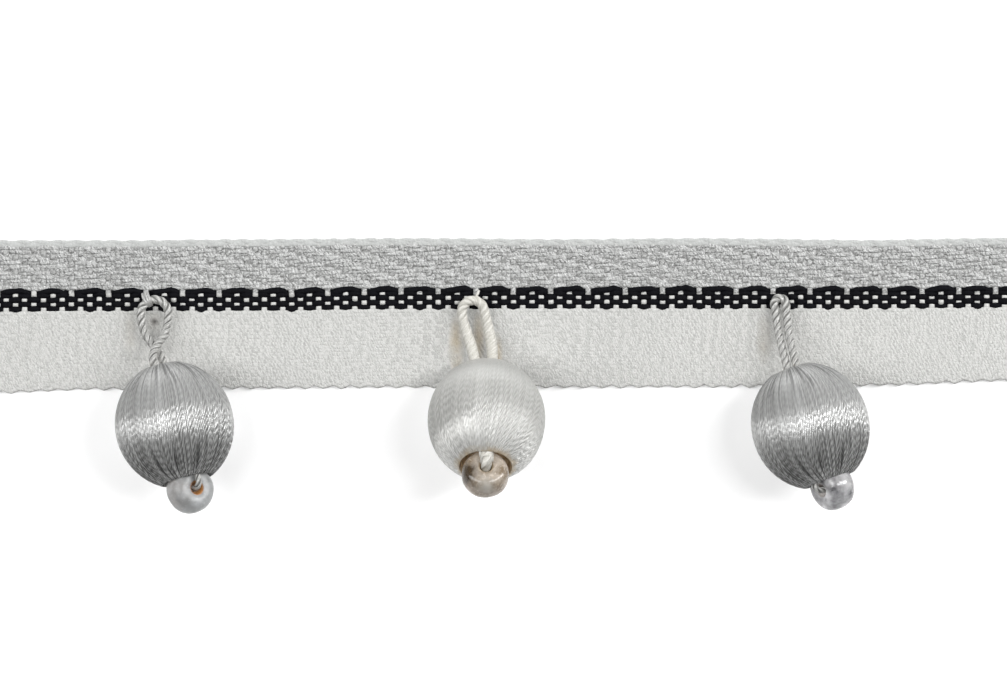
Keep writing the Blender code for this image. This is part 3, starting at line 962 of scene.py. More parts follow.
class Band(Enum):
    """The four bands of the tape, named for the warps in them."""

    EDGE = "edge"
    GREY = "grey"
    CHAIN = "chain"
    WHITE = "white"


@dataclass(frozen=True)
class Weave:
    """How one band is woven: its warps' finish and form, and the weft's form among them.

    A warp has a number of sides, and of rings from one weft to the next. Its crown is round at a
    roundness of 1 and flatter below that, and its bulge is how much wider it is on top.
    """

    finish: YarnFinish
    looseness: float
    roundness: float
    bulge: float
    sides: int
    rings: int
    weft_half_width: float
    weft_rise: float


WEAVES = {
    Band.EDGE: Weave(
        EDGE_WARP, looseness=0.6, roundness=0.35, bulge=0.06, sides=12, rings=4,
        weft_half_width=0.36, weft_rise=0.0,
    ),
    Band.GREY: Weave(
        GREY_WARP, looseness=2.0, roundness=0.5, bulge=0.06, sides=10, rings=4,
        weft_half_width=0.38, weft_rise=0.16,
    ),
    Band.CHAIN: Weave(
        BLACK_WARP, looseness=1.6, roundness=1.0, bulge=0.14, sides=10, rings=4,
        weft_half_width=0.345, weft_rise=0.20,
    ),
    Band.WHITE: Weave(
        WHITE_WARP, looseness=0.15, roundness=0.22, bulge=0.06, sides=12, rings=2,
        weft_half_width=0.44, weft_rise=0.0,
    ),
}


@dataclass(frozen=True)
class Warp:
    """One yarn that runs along the tape, and how it leans across over four wefts."""

    band: Band
    across: float
    under: tuple[int, ...]
    half_width: float
    half_height: float
    rise: float
    leans: tuple = ((0.0, 0.0),)

    def over(self, weft: np.ndarray) -> np.ndarray:
        """Gives 1 where the warp lies over a weft, and -1 where it lies under it."""
        return np.where(np.isin(weft % 4, self.under), -1.0, 1.0)


EVEN = (0, 2)
ODD = (1, 3)
EDGE_WARPS = (
    Warp(Band.EDGE, 9.04, EVEN, 0.32, 0.27, 0.02),
    Warp(Band.EDGE, 8.68, ODD, 0.38, 0.28, 0.03),
)
TOP_CHAIN_LEANS = (
    (0, -0.10), (1, -0.08), (2, 0.05), (2.75, 0.12), (3.25, -0.10), (3.5, -0.24), (4, -0.10),
)
CHAIN_WARPS = (
    Warp(Band.CHAIN, 2.80, (0,), 0.32, 0.27, 0.28, TOP_CHAIN_LEANS),
    Warp(Band.CHAIN, 2.30, EVEN, 0.33, 0.27, 0.28),
    Warp(Band.CHAIN, 1.75, ODD, 0.35, 0.27, 0.28),
    Warp(Band.CHAIN, 1.17, EVEN, 0.35, 0.27, 0.28),
    Warp(Band.CHAIN, 0.62, ODD, 0.33, 0.27, 0.28),
)


@dataclass
class Tape:
    """The woven tape: its warps, its one long weft, and the ground between them.

    A form is a warp's half width, its half height, and how far it rises over a weft.
    """

    middle: float = 0.55
    grey_count: int = 12
    grey_lowest: float = 3.27
    grey_pitch: float = 0.455
    grey_form: Point = (0.32, 0.25, 0.12)
    white_count: int = 22
    white_highest: float = 0.04
    white_pitch: float = 0.438
    white_form: Point = (0.45, 0.30, 0.004)
    white_outer_half_widths: Range = (0.34, 0.30)
    weft_sides: int = 8
    weft_half_height: float = 0.22
    weft_turn_half_width: float = 0.22
    weft_turn_steps: tuple = (0.12, 0.32, 0.5, 0.68, 0.88)
    weft_edge_gap: float = 0.28
    weft_unevenness: float = 0.02
    weft_edge_unevenness: float = 0.03
    weft_painted_shade_span: Range = (2.6, 8.6)
    end_cap: float = 0.1
    wander: float = 0.035
    swell: float = 0.05
    rise_change: float = 0.15
    upper_scallop: float = 0.07
    lower_scallop: float = 0.24
    scallops_from: float = 8.2
    scallops_reach: float = 0.9
    wave_depths: Range = (0.35, 1.25)
    ground_rows: tuple = (-9.0, -4.5, 0.36, 3.02, 5.7, 8.5, 9.0)
    ground_finishes: tuple = (0, 0, 1, 2, 2, 0)
    ground_columns: int = 68
    ground_thickness: float = 0.16
    ground_inset: float = 0.2
    seed: int = 7

    def warps(self) -> list[Warp]:
        """Lists the warps.

        Returns:
            The warps from the upper edge to the lower edge.
        """
        found = list(EDGE_WARPS)
        for place in reversed(range(self.grey_count)):
            across = self.grey_lowest + self.grey_pitch * place
            under = ((3 - place) % 4, (2 - place) % 4)
            found.append(Warp(Band.GREY, across, under, *self.grey_form))
        found += CHAIN_WARPS
        outer = dict(zip((0, self.white_count - 1), self.white_outer_half_widths))
        for place in range(self.white_count):
            across = self.white_highest - self.white_pitch * place
            form = (outer.get(place, self.white_form[0]), *self.white_form[1:])
            found.append(Warp(Band.WHITE, across, ODD if place % 2 else EVEN, *form))
        return found

    def weft_numbers(self) -> np.ndarray:
        """Gives the number of every weft."""
        return np.arange(WEFT_PLACES[0][0], WEFT_PLACES[-1][0] + 1)

    def weft_along(self, number: np.ndarray) -> np.ndarray:
        """Gives where wefts lie along the tape."""
        return np.interp(number, *zip(*WEFT_PLACES))

    def waves(self, number: np.ndarray) -> np.ndarray:
        """Gives how strongly the weft's turns push both edges across the tape.

        Args:
            number: places along the tape, as numbers of wefts.
        Returns:
            The push at each place, about 1 at most.
        """
        numbers = self.weft_numbers()
        depth = np.random.default_rng(self.seed + 1).uniform(*self.wave_depths, len(numbers))
        return np.cos(math.pi * (number - 0.5)) * np.interp(number, numbers, depth)

    def warp_strand(self, warp: Warp, chance: np.random.Generator) -> Strand:
        """Makes one warp, up and down over the wefts.

        Args:
            warp: the warp.
            chance: the source of its small unevenness.
        Returns:
            The yarn.
        """
        weave = WEAVES[warp.band]
        numbers = self.weft_numbers()
        crossings = self.weft_along(numbers)
        number = np.linspace(numbers[0], numbers[-1], (len(numbers) - 1) * weave.rings + 1)
        cap = TAPE_HALF_LENGTH - self.end_cap
        along = np.concatenate(
            [[-TAPE_HALF_LENGTH, -cap], self.weft_along(number), [cap, TAPE_HALF_LENGTH]]
        )
        number = np.concatenate([[number[0]] * 2, number, [number[-1]] * 2])
        before = np.floor(number).astype(int)
        share = eased(number - before)
        height = warp.over(before) * (1 - share) + warp.over(before + 1) * share
        uneven, swell, change = (
            np.interp(along, crossings, chance.normal(mean, spread * weave.looseness, len(numbers)))
            for mean, spread in ((0.0, self.wander), (1.0, self.swell), (1.0, self.rise_change))
        )
        height = np.maximum(height * change, -1.0)
        outer = np.clip((abs(warp.across) - self.scallops_from) / self.scallops_reach, 0.0, 1.0)
        scallop = self.upper_scallop if warp.across > 0 else self.lower_scallop
        uneven = uneven + self.waves(number) * outer * scallop
        across = warp.across + uneven + np.interp(number % 4, *zip(*warp.leans))
        across = across + drift(along, np.full_like(along, warp.across))
        line = np.stack([along, across, self.middle + warp.rise * height], axis=1)
        return Strand(
            line,
            up=np.tile(UPWARDS, (len(line), 1)),
            half_width=warp.half_width * swell * (1.0 + weave.bulge * height),
            half_height=np.full(len(line), warp.half_height),
            start=float(chance.uniform(0, 9)),
            roundness=weave.roundness,
        )

    def weft_strand(self, warps: list[Warp], chance: np.random.Generator) -> Strand:
        """Makes the weft, one yarn that goes back and forth across all the warps.

        Args:
            warps: the warps from the upper edge down.
            chance: the source of its small unevenness.
        Returns:
            The yarn.
        """
        warps = warps[::-1]
        weaves = [WEAVES[warp.band] for warp in warps]
        places = np.array([warp.across for warp in warps])
        between = np.sort(np.concatenate([places, (places[1:] + places[:-1]) / 2]))
        widths = np.interp(between, places, [weave.weft_half_width for weave in weaves])
        rise = np.interp(between, places, [weave.weft_rise for weave in weaves])
        line, width = [], []
        numbers = self.weft_numbers()
        for number in numbers:
            over = np.array([float(warp.over(number)) for warp in warps])
            height = self.middle - rise * np.interp(between, places, over)
            x = float(self.weft_along(number)) + chance.normal(0.0, self.weft_unevenness)
            after = float(self.weft_along(number + 1))
            bends = chance.normal(0.0, self.weft_unevenness, len(places))
            bend = np.interp(between, places, bends)
            points = np.stack([x + bend, between, height], axis=1)
            edge = TAPE_HALF_WIDTH - self.weft_edge_gap
            edge += chance.normal(0.0, self.weft_edge_unevenness)
            upwards = number % 2 == 0
            line.extend(points if upwards else points[::-1])
            width.extend(widths if upwards else widths[::-1])
            if number == numbers[-1]:
                continue
            last = line[-1][1]
            edge = edge if upwards else -edge
            for turn in self.weft_turn_steps:
                reach = last + (edge - last) * math.sin(math.pi * turn)
                step = x + (after - x) * (1 - math.cos(math.pi * turn)) / 2
                line.append((step, reach, self.middle))
                width.append(self.weft_turn_half_width)
        line = np.array(line)
        line[:, 1] += drift(line[:, 0], line[:, 1])
        half_height = np.full(len(line), self.weft_half_height)
        return Strand(line, np.tile(UPWARDS, (len(line), 1)), np.array(width), half_height)

    def ground(self) -> bpy.types.Mesh:
        """Makes the thin sheet between the yarns, which follows the tape's edges.

        Returns:
            The mesh.
        """
        bm = bmesh.new()
        rows = self.ground_rows
        last = len(rows) - 1
        bmesh.ops.create_grid(bm, x_segments=self.ground_columns, y_segments=last, size=1.0)
        for face in bm.faces:
            row = round((face.calc_center_median().y + 1) / 2 * last - 0.5)
            face.material_index = self.ground_finishes[row]
        for vert in bm.verts:
            along = vert.co.x * (TAPE_HALF_LENGTH - self.ground_inset)
            across = rows[round((vert.co.y + 1) / 2 * last)]
            moved = across + float(drift(np.array([along]), np.array([across]))[0])
            vert.co = Vector((along, moved, self.middle - self.ground_thickness / 2)) * MM
        raised = bmesh.ops.extrude_face_region(bm, geom=bm.faces[:])["geom"]
        lifted = [item for item in raised if isinstance(item, bmesh.types.BMVert)]
        bmesh.ops.translate(bm, verts=lifted, vec=(0.0, 0.0, self.ground_thickness * MM))
        bmesh.ops.recalc_face_normals(bm, faces=bm.faces[:])
        return smooth_mesh(bm, "tape_ground")

    def build(self) -> None:
        chance = np.random.default_rng(self.seed)
        warps = self.warps()
        yarns = []
        for band, weave in WEAVES.items():
            strands = [self.warp_strand(warp, chance) for warp in warps if warp.band is band]
            mesh = StrandBundle(f"{band.value}_warps", weave.sides, strands).mesh()
            yarns.append(add_piece(mesh, "woven_tape", weave.finish.build()))
        strands = [self.weft_strand(warps, chance)]
        weft = StrandBundle("weft", self.weft_sides, strands).mesh()
        # The weft's faces in the grey band take the painted grey: painted shade and reflection.
        across = np.array([face.center.y for face in weft.polygons]) / MM
        silver = (across > self.weft_painted_shade_span[0]) & (across < self.weft_painted_shade_span[1])
        weft.polygons.foreach_set("material_index", silver.astype(np.int32))
        yarns.append(add_piece(weft, "woven_tape", WHITE_WEFT.build(), WEFT_PAINTED_SHADE.build()))
        ground = add_piece(self.ground(), "woven_tape", *(finish.build() for finish in GROUNDS))
        for piece in (*yarns, ground):
            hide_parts("tape")


@dataclass(frozen=True)
class Spread:
    """A place where a cord's plies spread out sideways."""

    place: Point
    reach: float
    amount: float


@dataclass
class Cord:
    """The twisted cord of one hanger: three plies laid round each other, right-handed."""

    name: str
    radius: float
    route: tuple[Point, ...]
    slot: str
    finish: YarnFinish
    plies: int = 3
    lay: float = 2.9
    spacing: float = 0.13
    sides: int = 12
    fullness: float = 1.16
    squeeze: float = 0.70
    squeeze_length: float = 2.4
    ply_share: float = 0.48
    ply_shift: float = 1.7
    spreads: tuple[Spread, ...] = ()

    def strands(self, centre: Vector, down: Vector) -> list[Strand]:
        """Makes the plies.

        Args:
            centre: the ball's middle.
            down: the way from it to the lower mouth.
        Returns:
            One yarn for each ply.
        """
        line = smooth_line(np.array(self.route), self.spacing)
        first, second = carried_frame(line)
        gone = np.arange(len(line)) * np.linalg.norm(line[1] - line[0])
        past = (line - np.array(centre)) @ np.array(down) + BORE_DEPTH
        pressed = eased(np.clip(1.0 + past / self.squeeze_length, 0.0, 1.0))
        thickness = self.radius * (1.0 + (self.squeeze - 1.0) * pressed)
        spread = np.ones(len(line))
        for wide in self.spreads:
            away = np.linalg.norm(line - np.array(wide.place), axis=1)
            spread += wide.amount * np.exp(-((away / wide.reach) ** 2))
        width = self.ply_share * thickness
        plies = []
        for ply in range(self.plies):
            angle = math.tau * (gone / self.lay + ply / self.plies)
            out = first * np.cos(angle)[:, None] + second * np.sin(angle)[:, None]
            placed = out * ((1.0 - self.ply_share) * thickness)[:, None]
            placed[:, 0] *= spread
            half_width = width * self.fullness * spread
            plies.append(Strand(line + placed, out, half_width, width, start=ply * self.ply_shift))
        return plies

    def build(self, centre: Vector, down: Vector) -> None:
        """Makes the cord's piece.

        Args:
            centre: the ball's middle.
            down: the way from it to the lower mouth.
        """
        bundle = StrandBundle(f"twisted_cord_{self.name}", self.sides, self.strands(centre, down))
        piece = add_piece(bundle.mesh(), self.slot, self.finish.build())
        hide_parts(f"cord_{self.name}")


@dataclass
class Ball:
    """One wound ball: silky threads from mouth to mouth over a bored mould."""

    name: str
    centre: Vector
    down: Vector
    bore: float
    silk: SilkFinish
    slot: str
    seed: int
    threads: int = 280
    thread_section: tuple = (0.0, 0.72, 1.0, 0.72)
    rows: int = 48
    ridge: float = 0.05
    ridge_base: float = 0.6
    sunk: float = 0.05
    gathered: float = 0.07
    silk_in_mouth: int = 2
    mouth_rows: int = 3
    slope: float = 0.10
    swing: float = 0.012
    fine_swing: float = 0.007
    jitter: float = 0.004
    lump: float = 0.05
    fine_lump: float = 0.03

    def profile(self) -> tuple[np.ndarray, int]:
        """Draws half the ball's section, round the wound side and back through the bore.

        Returns:
            The closed outline's points, and how many of them are wound.
        """
        first = math.acos(LOWER_MOUTH[0][0] / BALL_RADIUS)
        last = -math.acos(UPPER_MOUTH[0][0] / BALL_RADIUS)
        angles = np.linspace(first, last, self.rows)
        wound = np.stack([BALL_RADIUS * np.cos(angles), BALL_HALF_LENGTH * np.sin(angles)], axis=1)
        upper = [(radius, -height) for radius, height in UPPER_MOUTH[1:]]
        upper.append((self.bore, -BORE_DEPTH))
        lower = [(self.bore, BORE_DEPTH), *reversed(LOWER_MOUTH[1:])]
        return np.concatenate([wound, upper, lower, wound[:1]]), len(wound)

    def surface(self, spots: np.ndarray, column: np.ndarray, on_silk: np.ndarray) -> np.ndarray:
        """Places the ball's points, with its threads as ridges that wander and sink a little.

        Args:
            spots: each point's distance from the axis, and its height along it.
            column: the number of its column round the ball.
            on_silk: whether it lies on the wound silk.
        Returns:
            The places.
        """
        chance = np.random.default_rng(self.seed)
        points = len(self.thread_section)
        radius, height = spots[:, 0], spots[:, 1]
        latitude = np.clip(height / BALL_HALF_LENGTH, -1.0, 1.0)
        thread = (column // points) % self.threads
        crown = np.array(self.thread_section)[column % points]
        sunk = chance.uniform(0.0, 1.0, self.threads) ** 5
        gathered = chance.uniform(0.0, 1.0, self.threads) ** 3
        deep = sunk[thread] * self.sunk + gathered[thread] * self.gathered * np.abs(latitude) ** 3
        share = (radius / BALL_RADIUS) * on_silk
        lift = (self.ridge * crown - self.ridge * self.ridge_base) * share - deep * on_silk
        longitude = math.tau * column / (self.threads * points)
        swing = self.swing * np.sin(3 * longitude + 2.1 * latitude * 3 + self.seed)
        swing = swing + self.fine_swing * np.sin(11 * longitude - 5 * latitude)
        jitter = chance.normal(0.0, self.jitter, self.threads)[thread]
        swing = swing + jitter * np.sin(4 * latitude + thread)
        longitude = longitude + swing * on_silk + self.slope * latitude
        lumps = self.lump * np.sin(2 * longitude + self.seed) * np.cos(2.2 * latitude)
        lumps = lumps + self.fine_lump * np.sin(5 * longitude - 3 * latitude)
        away = radius + lift + lumps * on_silk * share
        local = np.stack([away * np.cos(longitude), away * np.sin(longitude), height], axis=1)
        turn = np.array(self.down.to_track_quat("Z", "Y").to_matrix())
        placed = local @ turn.T + np.array(self.centre)
        placed[:, 2] = np.maximum(placed[:, 2], 0.0)
        return placed

    def build(self) -> None:
        """Makes the ball's piece: one grid rolled round the axis and through the bore."""
        outline, wound = self.profile()
        points = len(self.thread_section)
        columns = self.threads * points
        rows = len(outline) - 1
        mesh, spots = grid_mesh(f"wound_ball_{self.name}", [(columns, rows)])
        column = np.rint(spots[:, 0] * columns).astype(int)
        row = np.rint(spots[:, 1] * rows).astype(int)
        on_silk = (row < wound) | (row == rows)
        gone = summed(step_lengths(outline))
        lower_mouth = np.arange(rows + 1) >= rows - self.mouth_rows
        gone = np.where(lower_mouth, gone - gone[-1], gone)
        mapped = np.stack([column / points, gone[row]], axis=1)
        faces = np.empty(len(mesh.polygons) * 4, dtype=np.int32)
        mesh.polygons.foreach_get("vertices", faces)
        lowest = row[faces.reshape(-1, 4)].min(axis=1)
        mould = (lowest >= wound) & (lowest < rows - self.silk_in_mouth)
        mesh.polygons.foreach_set("material_index", mould.astype(np.int32))
        mesh = welded(mesh, self.surface(outline[row], column, on_silk), mapped)
        piece = add_piece(mesh, self.slot, self.silk.build(), MOULD.build())
        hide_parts(f"ball_{self.name}")


@dataclass
class Bead:
    """One glass bead, a short thick ring with a round side."""

    name: str
    centre: Vector
    faces: Vector
    glass: GlassFinish
    radius: float = 2.95
    half_length: float = 1.90
    hole: float = 0.68
    roundness: float = 2.4
    rim: tuple = ((0.34, 0.03), (0.17, 0.12), (0.05, 0.32), (0.0, 0.60))
    side_steps: int = 14
    steps: int = 64
    unevenness: float = 0.05
    lump_scale: float = 0.55
    lining: float = 0.20
    weld: float = 1e-4

    def outline(self) -> list[tuple[float, float]]:
        """Draws the bead's half section: a round side, eased into the hole.

        Returns:
            The distance from the axis and the height of each point.
        """
        middle = self.hole + (self.radius - self.hole) / 3
        upper = []
        for step in range(self.side_steps + 1):
            angle = math.radians(90 * step / self.side_steps)
            across = math.cos(angle) ** (2 / self.roundness)
            rise = math.sin(angle) ** (2 / self.roundness)
            upper.append((middle + (self.radius - middle) * across, self.half_length * rise))
        upper += [(self.hole + out, self.half_length - down) for out, down in self.rim]
        lower = [(radius, -height) for radius, height in reversed(upper[1:])]
        return upper + [(self.hole, self.half_length * share) for share in (0.5, 0.0, -0.5)] + lower

    def build(self) -> None:
        """Makes the bead's piece by turning its half section."""
        bm = bmesh.new()
        layer = bm.verts.layers.float.new("lining")
        points = [bm.verts.new((radius, 0.0, height)) for radius, height in self.outline()]
        edges = [bm.edges.new(pair) for pair in zip(points, points[1:] + points[:1])]
        bmesh.ops.spin(
            bm, geom=points + edges, cent=(0.0, 0.0, 0.0), axis=UPWARDS,
            angle=math.tau, steps=self.steps, use_merge=True,
        )
        bmesh.ops.remove_doubles(bm, verts=bm.verts[:], dist=self.weld)
        shift = Vector((len(self.name), 0.0, 3.0))
        for vert in bm.verts:
            away = math.hypot(vert.co.x, vert.co.y)
            vert[layer] = 1.0 if away < self.hole + self.lining else 0.0
            lump = noise.noise(vert.co * self.lump_scale + shift)
            vert.co += vert.co.normalized() * lump * self.unevenness * min(1.0, away - self.hole)
        bmesh.ops.recalc_face_normals(bm, faces=bm.faces[:])
        turn = self.faces.to_track_quat("Z", "Y").to_matrix().to_4x4()
        bm.transform(Matrix.Scale(MM, 4) @ Matrix.Translation(self.centre) @ turn)
        mesh = smooth_mesh(bm, f"glass_bead_{self.name}")
        piece = add_piece(mesh, "bead_glass", self.glass.build())
        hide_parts(f"bead_{self.name}")


@dataclass
class Stitch:
    """A few wraps of yarn that hold a loop's arch down on the tape."""

    name: str
    slot: str
    finish: YarnFinish
    wraps: tuple
    radius: float = 0.135
    flatness: float = 1.25
    spacing: float = 0.08
    sides: int = 10

    def build(self) -> None:
        """Makes the stitch's piece."""
        strands = []
        for wrap in self.wraps:
            line = smooth_line(np.array(wrap), self.spacing)
            up = carried_frame(line)[1]
            half_height = np.full(len(line), self.radius)
            half_width = np.full(len(line), self.radius * self.flatness)
            strands.append(Strand(line, up, half_width, half_height))
        bundle = StrandBundle(f"catch_stitch_{self.name}", self.sides, strands)
        add_piece(bundle.mesh(), self.slot, self.finish.build())


# The cords' middle lines: up from inside the ball, round the arch on the tape and down again,
# through the ball and the bead, and back into the ball.
LEFT_ROUTE = (
    (-41.10, -13.96, 6.91), (-41.28, -12.61, 6.82), (-41.54, -11.12, 6.79), (-43.20, -5.60, 4.20),
    (-44.24, -4.20, 3.00), (-45.38, -2.60, 2.30), (-45.92, -0.50, 2.10), (-45.80, 0.57, 1.97),
    (-45.17, 1.39, 1.99), (-44.18, 1.70, 2.02), (-43.19, 1.39, 2.05), (-42.56, 0.57, 2.07),
    (-42.46, -0.50, 2.20), (-42.82, -2.60, 2.80), (-43.74, -4.20, 4.50), (-44.16, -5.60, 5.90),
    (-42.57, -11.33, 7.07), (-42.12, -12.71, 7.50), (-41.60, -14.09, 7.87), (-41.03, -15.46, 8.17),
    (-40.46, -16.85, 8.37), (-39.51, -18.67, 9.19), (-38.96, -18.92, 9.97), (-38.51, -19.58, 10.52),
    (-38.16, -20.91, 10.76), (-38.14, -21.37, 10.70), (-38.25, -21.75, 10.45),
    (-38.46, -21.95, 10.09),
    (-40.16, -22.54, 7.37), (-40.42, -22.50, 6.98), (-40.66, -22.24, 6.68), (-40.81, -21.82, 6.54),
    (-41.01, -20.45, 6.53), (-40.86, -19.58, 6.94), (-40.48, -19.01, 7.64), (-40.79, -17.10, 7.36),
    (-40.93, -15.61, 7.10), (-41.07, -14.26, 6.93),
)
MIDDLE_ROUTE = (
    (-2.58, -13.61, 7.21), (-2.65, -12.45, 6.50), (-2.68, -11.15, 5.73), (-3.92, -4.80, 2.70),
    (-4.72, -2.40, 2.20), (-5.22, -0.40, 2.10), (-5.20, 0.67, 2.08), (-4.68, 1.34, 2.08),
    (-3.87, 1.60, 2.08), (-3.06, 1.34, 2.08), (-2.54, 0.67, 2.08), (-2.27, -0.40, 2.10),
    (-1.82, -2.40, 2.20), (-1.42, -4.80, 2.70), (-1.51, -11.05, 5.89), (-1.59, -12.15, 6.93),
    (-1.71, -13.26, 7.94), (-1.87, -14.39, 8.93), (-2.06, -15.55, 9.88), (-2.16, -16.79, 11.37),
    (-2.12, -16.61, 12.36), (-2.10, -16.92, 13.31), (-2.11, -17.98, 14.24), (-2.13, -18.41, 14.41),
    (-2.15, -18.87, 14.33), (-2.17, -19.23, 14.03), (-2.34, -21.18, 11.30), (-2.36, -21.35, 10.87),
    (-2.37, -21.27, 10.41), (-2.37, -20.98, 10.05), (-2.34, -19.76, 9.35), (-2.30, -18.76, 9.36),
    (-2.25, -17.88, 9.85), (-2.31, -16.24, 8.96), (-2.45, -15.00, 8.10), (-2.56, -13.87, 7.37),
)
RIGHT_ROUTE = (
    (38.34, -14.22, 6.87), (37.69, -13.01, 6.86), (37.06, -11.63, 6.95), (35.29, -4.80, 4.00),
    (34.81, -2.40, 2.70), (34.51, -0.40, 2.10), (34.33, 1.44, 1.98), (34.59, 1.77, 2.03),
    (34.99, 1.90, 2.12), (35.39, 1.77, 2.21), (35.65, 1.44, 2.26), (35.87, -0.40, 2.40),
    (36.05, -2.40, 3.10), (36.51, -4.80, 4.40), (38.05, -11.25, 7.20), (38.41, -12.67, 7.60),
    (38.69, -14.14, 7.90), (38.93, -15.64, 8.07), (39.20, -17.14, 8.11), (39.24, -18.85, 8.46),
    (38.69, -19.47, 9.00), (38.52, -20.35, 9.38), (38.92, -21.67, 9.57), (39.18, -22.05, 9.54),
    (39.55, -22.27, 9.39), (39.95, -22.27, 9.15), (42.52, -21.42, 7.32), (42.84, -21.19, 7.06),
    (42.98, -20.80, 6.85), (42.91, -20.35, 6.75), (42.29, -19.10, 6.71), (41.56, -18.53, 6.97),
    (40.70, -18.37, 7.43), (39.89, -16.99, 7.29), (39.17, -15.67, 7.02), (38.49, -14.49, 6.88),
)
LEFT_WRAPS = (
    (
        (-45.80, 2.45, 0.95), (-45.74, 2.28, 1.70), (-45.55, 1.85, 2.45),
        (-45.25, 1.35, 2.55), (-45.02, 0.95, 1.95), (-44.92, 0.78, 1.10),
    ),
    (
        (-45.50, 2.68, 0.95), (-45.40, 2.46, 1.75), (-45.20, 2.00, 2.50),
        (-44.98, 1.48, 2.60), (-44.84, 1.05, 2.00), (-44.78, 0.85, 1.10),
    ),
    (
        (-45.18, 2.70, 0.95), (-45.08, 2.45, 1.75), (-44.90, 2.02, 2.50),
        (-44.74, 1.58, 2.58), (-44.64, 1.15, 2.00), (-44.60, 0.95, 1.10),
    ),
)
MIDDLE_WRAPS = (
    (
        (-3.15, 2.85, 0.95), (-3.18, 2.68, 1.60), (-3.28, 2.40, 1.95),
        (-3.45, 2.10, 1.75), (-3.60, 1.90, 1.20),
    ),
)


@dataclass
class Hanger:
    """One ball with its cord, its bead and the stitch that holds its loop."""

    cord: Cord
    ball: Ball
    bead: Bead
    stitch: Stitch | None = None

    def build(self) -> None:
        """Makes the hanger's pieces."""
        self.cord.build(self.ball.centre, self.ball.down)
        self.ball.build()
        self.bead.build()
        if self.stitch:
            self.stitch.build()


def hangers() -> list[Hanger]:
    """Lists the hangers.

    Returns:
        The three hangers from left to right.
    """
    left = Hanger(
        cord=Cord("left", 0.56, LEFT_ROUTE, "grey_cord", GREY_CORD),
        ball=Ball(
            "left", Vector((-41.34, -14.10, 7.396)), down=Vector((0.23894, -0.95835, 0.15643)),
            bore=1.334, silk=GREY_SILK, slot="grey_silk", seed=3,
        ),
        bead=Bead(
            "left", Vector((-39.309, -22.246, 8.726)), faces=Vector((0.52, 0.18, 0.83)),
            glass=CLOUDY_GLASS,
        ),
        stitch=Stitch("left", "grey_cord", GREY_STITCH, LEFT_WRAPS),
    )
    middle = Hanger(
        cord=Cord(
            "middle", 0.63, MIDDLE_ROUTE, "white_cord", WHITE_CORD, fullness=1.35,
            spreads=(
                Spread((-2.1, -17.5, 13.7), reach=1.7, amount=2.0),
                Spread((-4.9, -3.6, 2.4), reach=2.4, amount=0.28),
                Spread((-1.6, -3.6, 2.4), reach=2.4, amount=0.28),
            ),
        ),
        ball=Ball(
            "middle", Vector((-2.14, -13.50, 7.614)), down=Vector((-0.01394, -0.79851, 0.60182)),
            bore=1.432, silk=WHITE_SILK, slot="white_silk", seed=5, silk_in_mouth=1,
        ),
        bead=Bead(
            "middle", Vector((-2.257, -20.208, 12.669)), faces=Vector((0.05, 0.58, 0.81)),
            glass=BROWNISH_GLASS,
        ),
        stitch=Stitch("middle", "white_cord", WHITE_STITCH, MIDDLE_WRAPS),
    )
    right = Hanger(
        cord=Cord("right", 0.56, RIGHT_ROUTE, "grey_cord", GREY_CORD),
        ball=Ball(
            "right", Vector((38.55, -14.25, 7.387)), down=Vector((0.33198, -0.93748, 0.10453)),
            bore=1.334, silk=GREY_SILK, slot="grey_silk", seed=11,
        ),
        bead=Bead(
            "right", Vector((41.239, -21.844, 8.234)), faces=Vector((-0.79, -0.26, 0.56)),
            glass=MILKY_GLASS,
        ),
    )
    return [left, middle, right]


@dataclass(frozen=True)
class SoftLight:
    """One soft light, in metres and watts.

    Its size is given along the trim's width and square to that. A light that isn't glancing only
    fills: it shows in no gloss and casts no shadow.
    """

    name: str
    place: Point
    size: tuple[float, float]
    power: float
    glancing: bool = True

    def build(self, aim: Vector) -> None:
        """Adds the light.

        Args:
            aim: the point that it is turned to.
        """
        lamp = bpy.data.lights.new(self.name, "AREA")
        lamp.shape = "RECTANGLE"
        lamp.size, lamp.size_y = self.size
        lamp.energy = self.power
        lamp.use_shadow = self.glancing
        shown = bpy.data.objects.new(self.name, lamp)
        shown.visible_glossy = self.glancing
        shown.location = self.place
        shown.rotation_euler = (aim - Vector(self.place)).to_track_quat("-Z", "Y").to_euler()
        bpy.context.scene.collection.objects.link(shown)


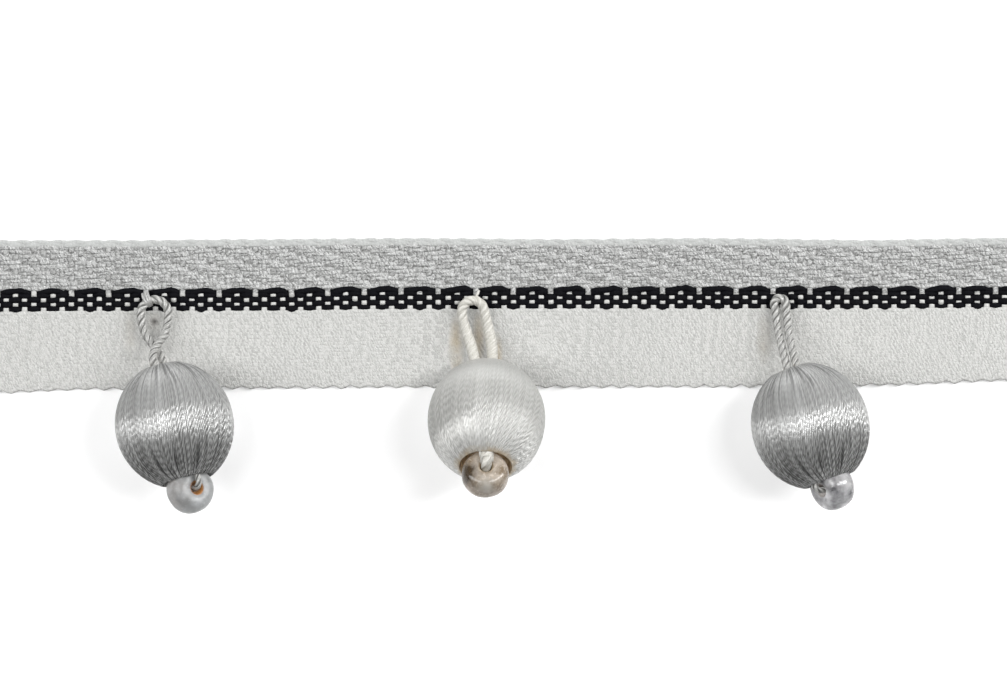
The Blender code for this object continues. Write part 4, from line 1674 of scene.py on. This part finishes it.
@dataclass
class Studio:
    """The pale floor, the soft lights and the camera, in metres."""

    distance: float = 0.7
    view_width: float = 0.12789
    view_middle: float = -0.004445
    floor_size: float = 6.0
    aim: Point = (0.0, -0.005, 0.0)
    room_strength: float = 0.07
    lights: tuple[SoftLight, ...] = (
        SoftLight("left_light", (-0.50, 0.03, 0.55), (0.24, 0.80), 4.4),
        SoftLight("right_light", (0.52, 0.18, 0.48), (0.16, 0.80), 5.8),
        SoftLight("far_light", (0.0, 0.85, 0.50), (0.60, 0.60), 7.6, glancing=False),
    )

    def add_floor(self) -> None:
        """Adds the floor."""
        bm = bmesh.new()
        bmesh.ops.create_grid(bm, x_segments=1, y_segments=1, size=self.floor_size / 2)
        floor = bpy.data.objects.new("floor", smooth_mesh(bm, "floor"))
        floor.data.materials.append(FloorFinish("pale_floor", (0.95, 0.95, 0.95)).build())
        bpy.context.scene.collection.objects.link(floor)

    def add_room(self) -> None:
        """Adds the even, faint light that comes from all round."""
        world = bpy.data.worlds.new("soft_room")
        world.use_nodes = True
        background = world.node_tree.nodes["Background"]
        background.inputs["Color"].default_value = (1.0, 1.0, 1.0, 1.0)
        background.inputs["Strength"].default_value = self.room_strength
        bpy.context.scene.world = world

    def add_camera(self) -> None:
        """Adds the camera, straight above the trim."""
        camera = bpy.data.cameras.new("camera")
        camera.lens = camera.sensor_width * self.distance / self.view_width
        shown = bpy.data.objects.new("camera", camera)
        shown.location = (0.0, self.view_middle, self.distance)
        bpy.context.scene.collection.objects.link(shown)
        bpy.context.scene.camera = shown
        bpy.context.scene.view_settings.view_transform = "Standard"

    def build(self) -> None:
        """Adds the floor, the lights and the camera."""
        self.add_floor()
        for light in self.lights:
            light.build(Vector(self.aim))
        self.add_room()
        self.add_camera()


def main() -> None:
    """Builds the trim piece by piece, and then the room round it."""
    logging.basicConfig(level=logging.INFO, format="%(name)s: %(message)s")
    Tape().build()
    for hanger in hangers():
        hanger.build()
    Studio().build()


if __name__ == "__main__":
    main()
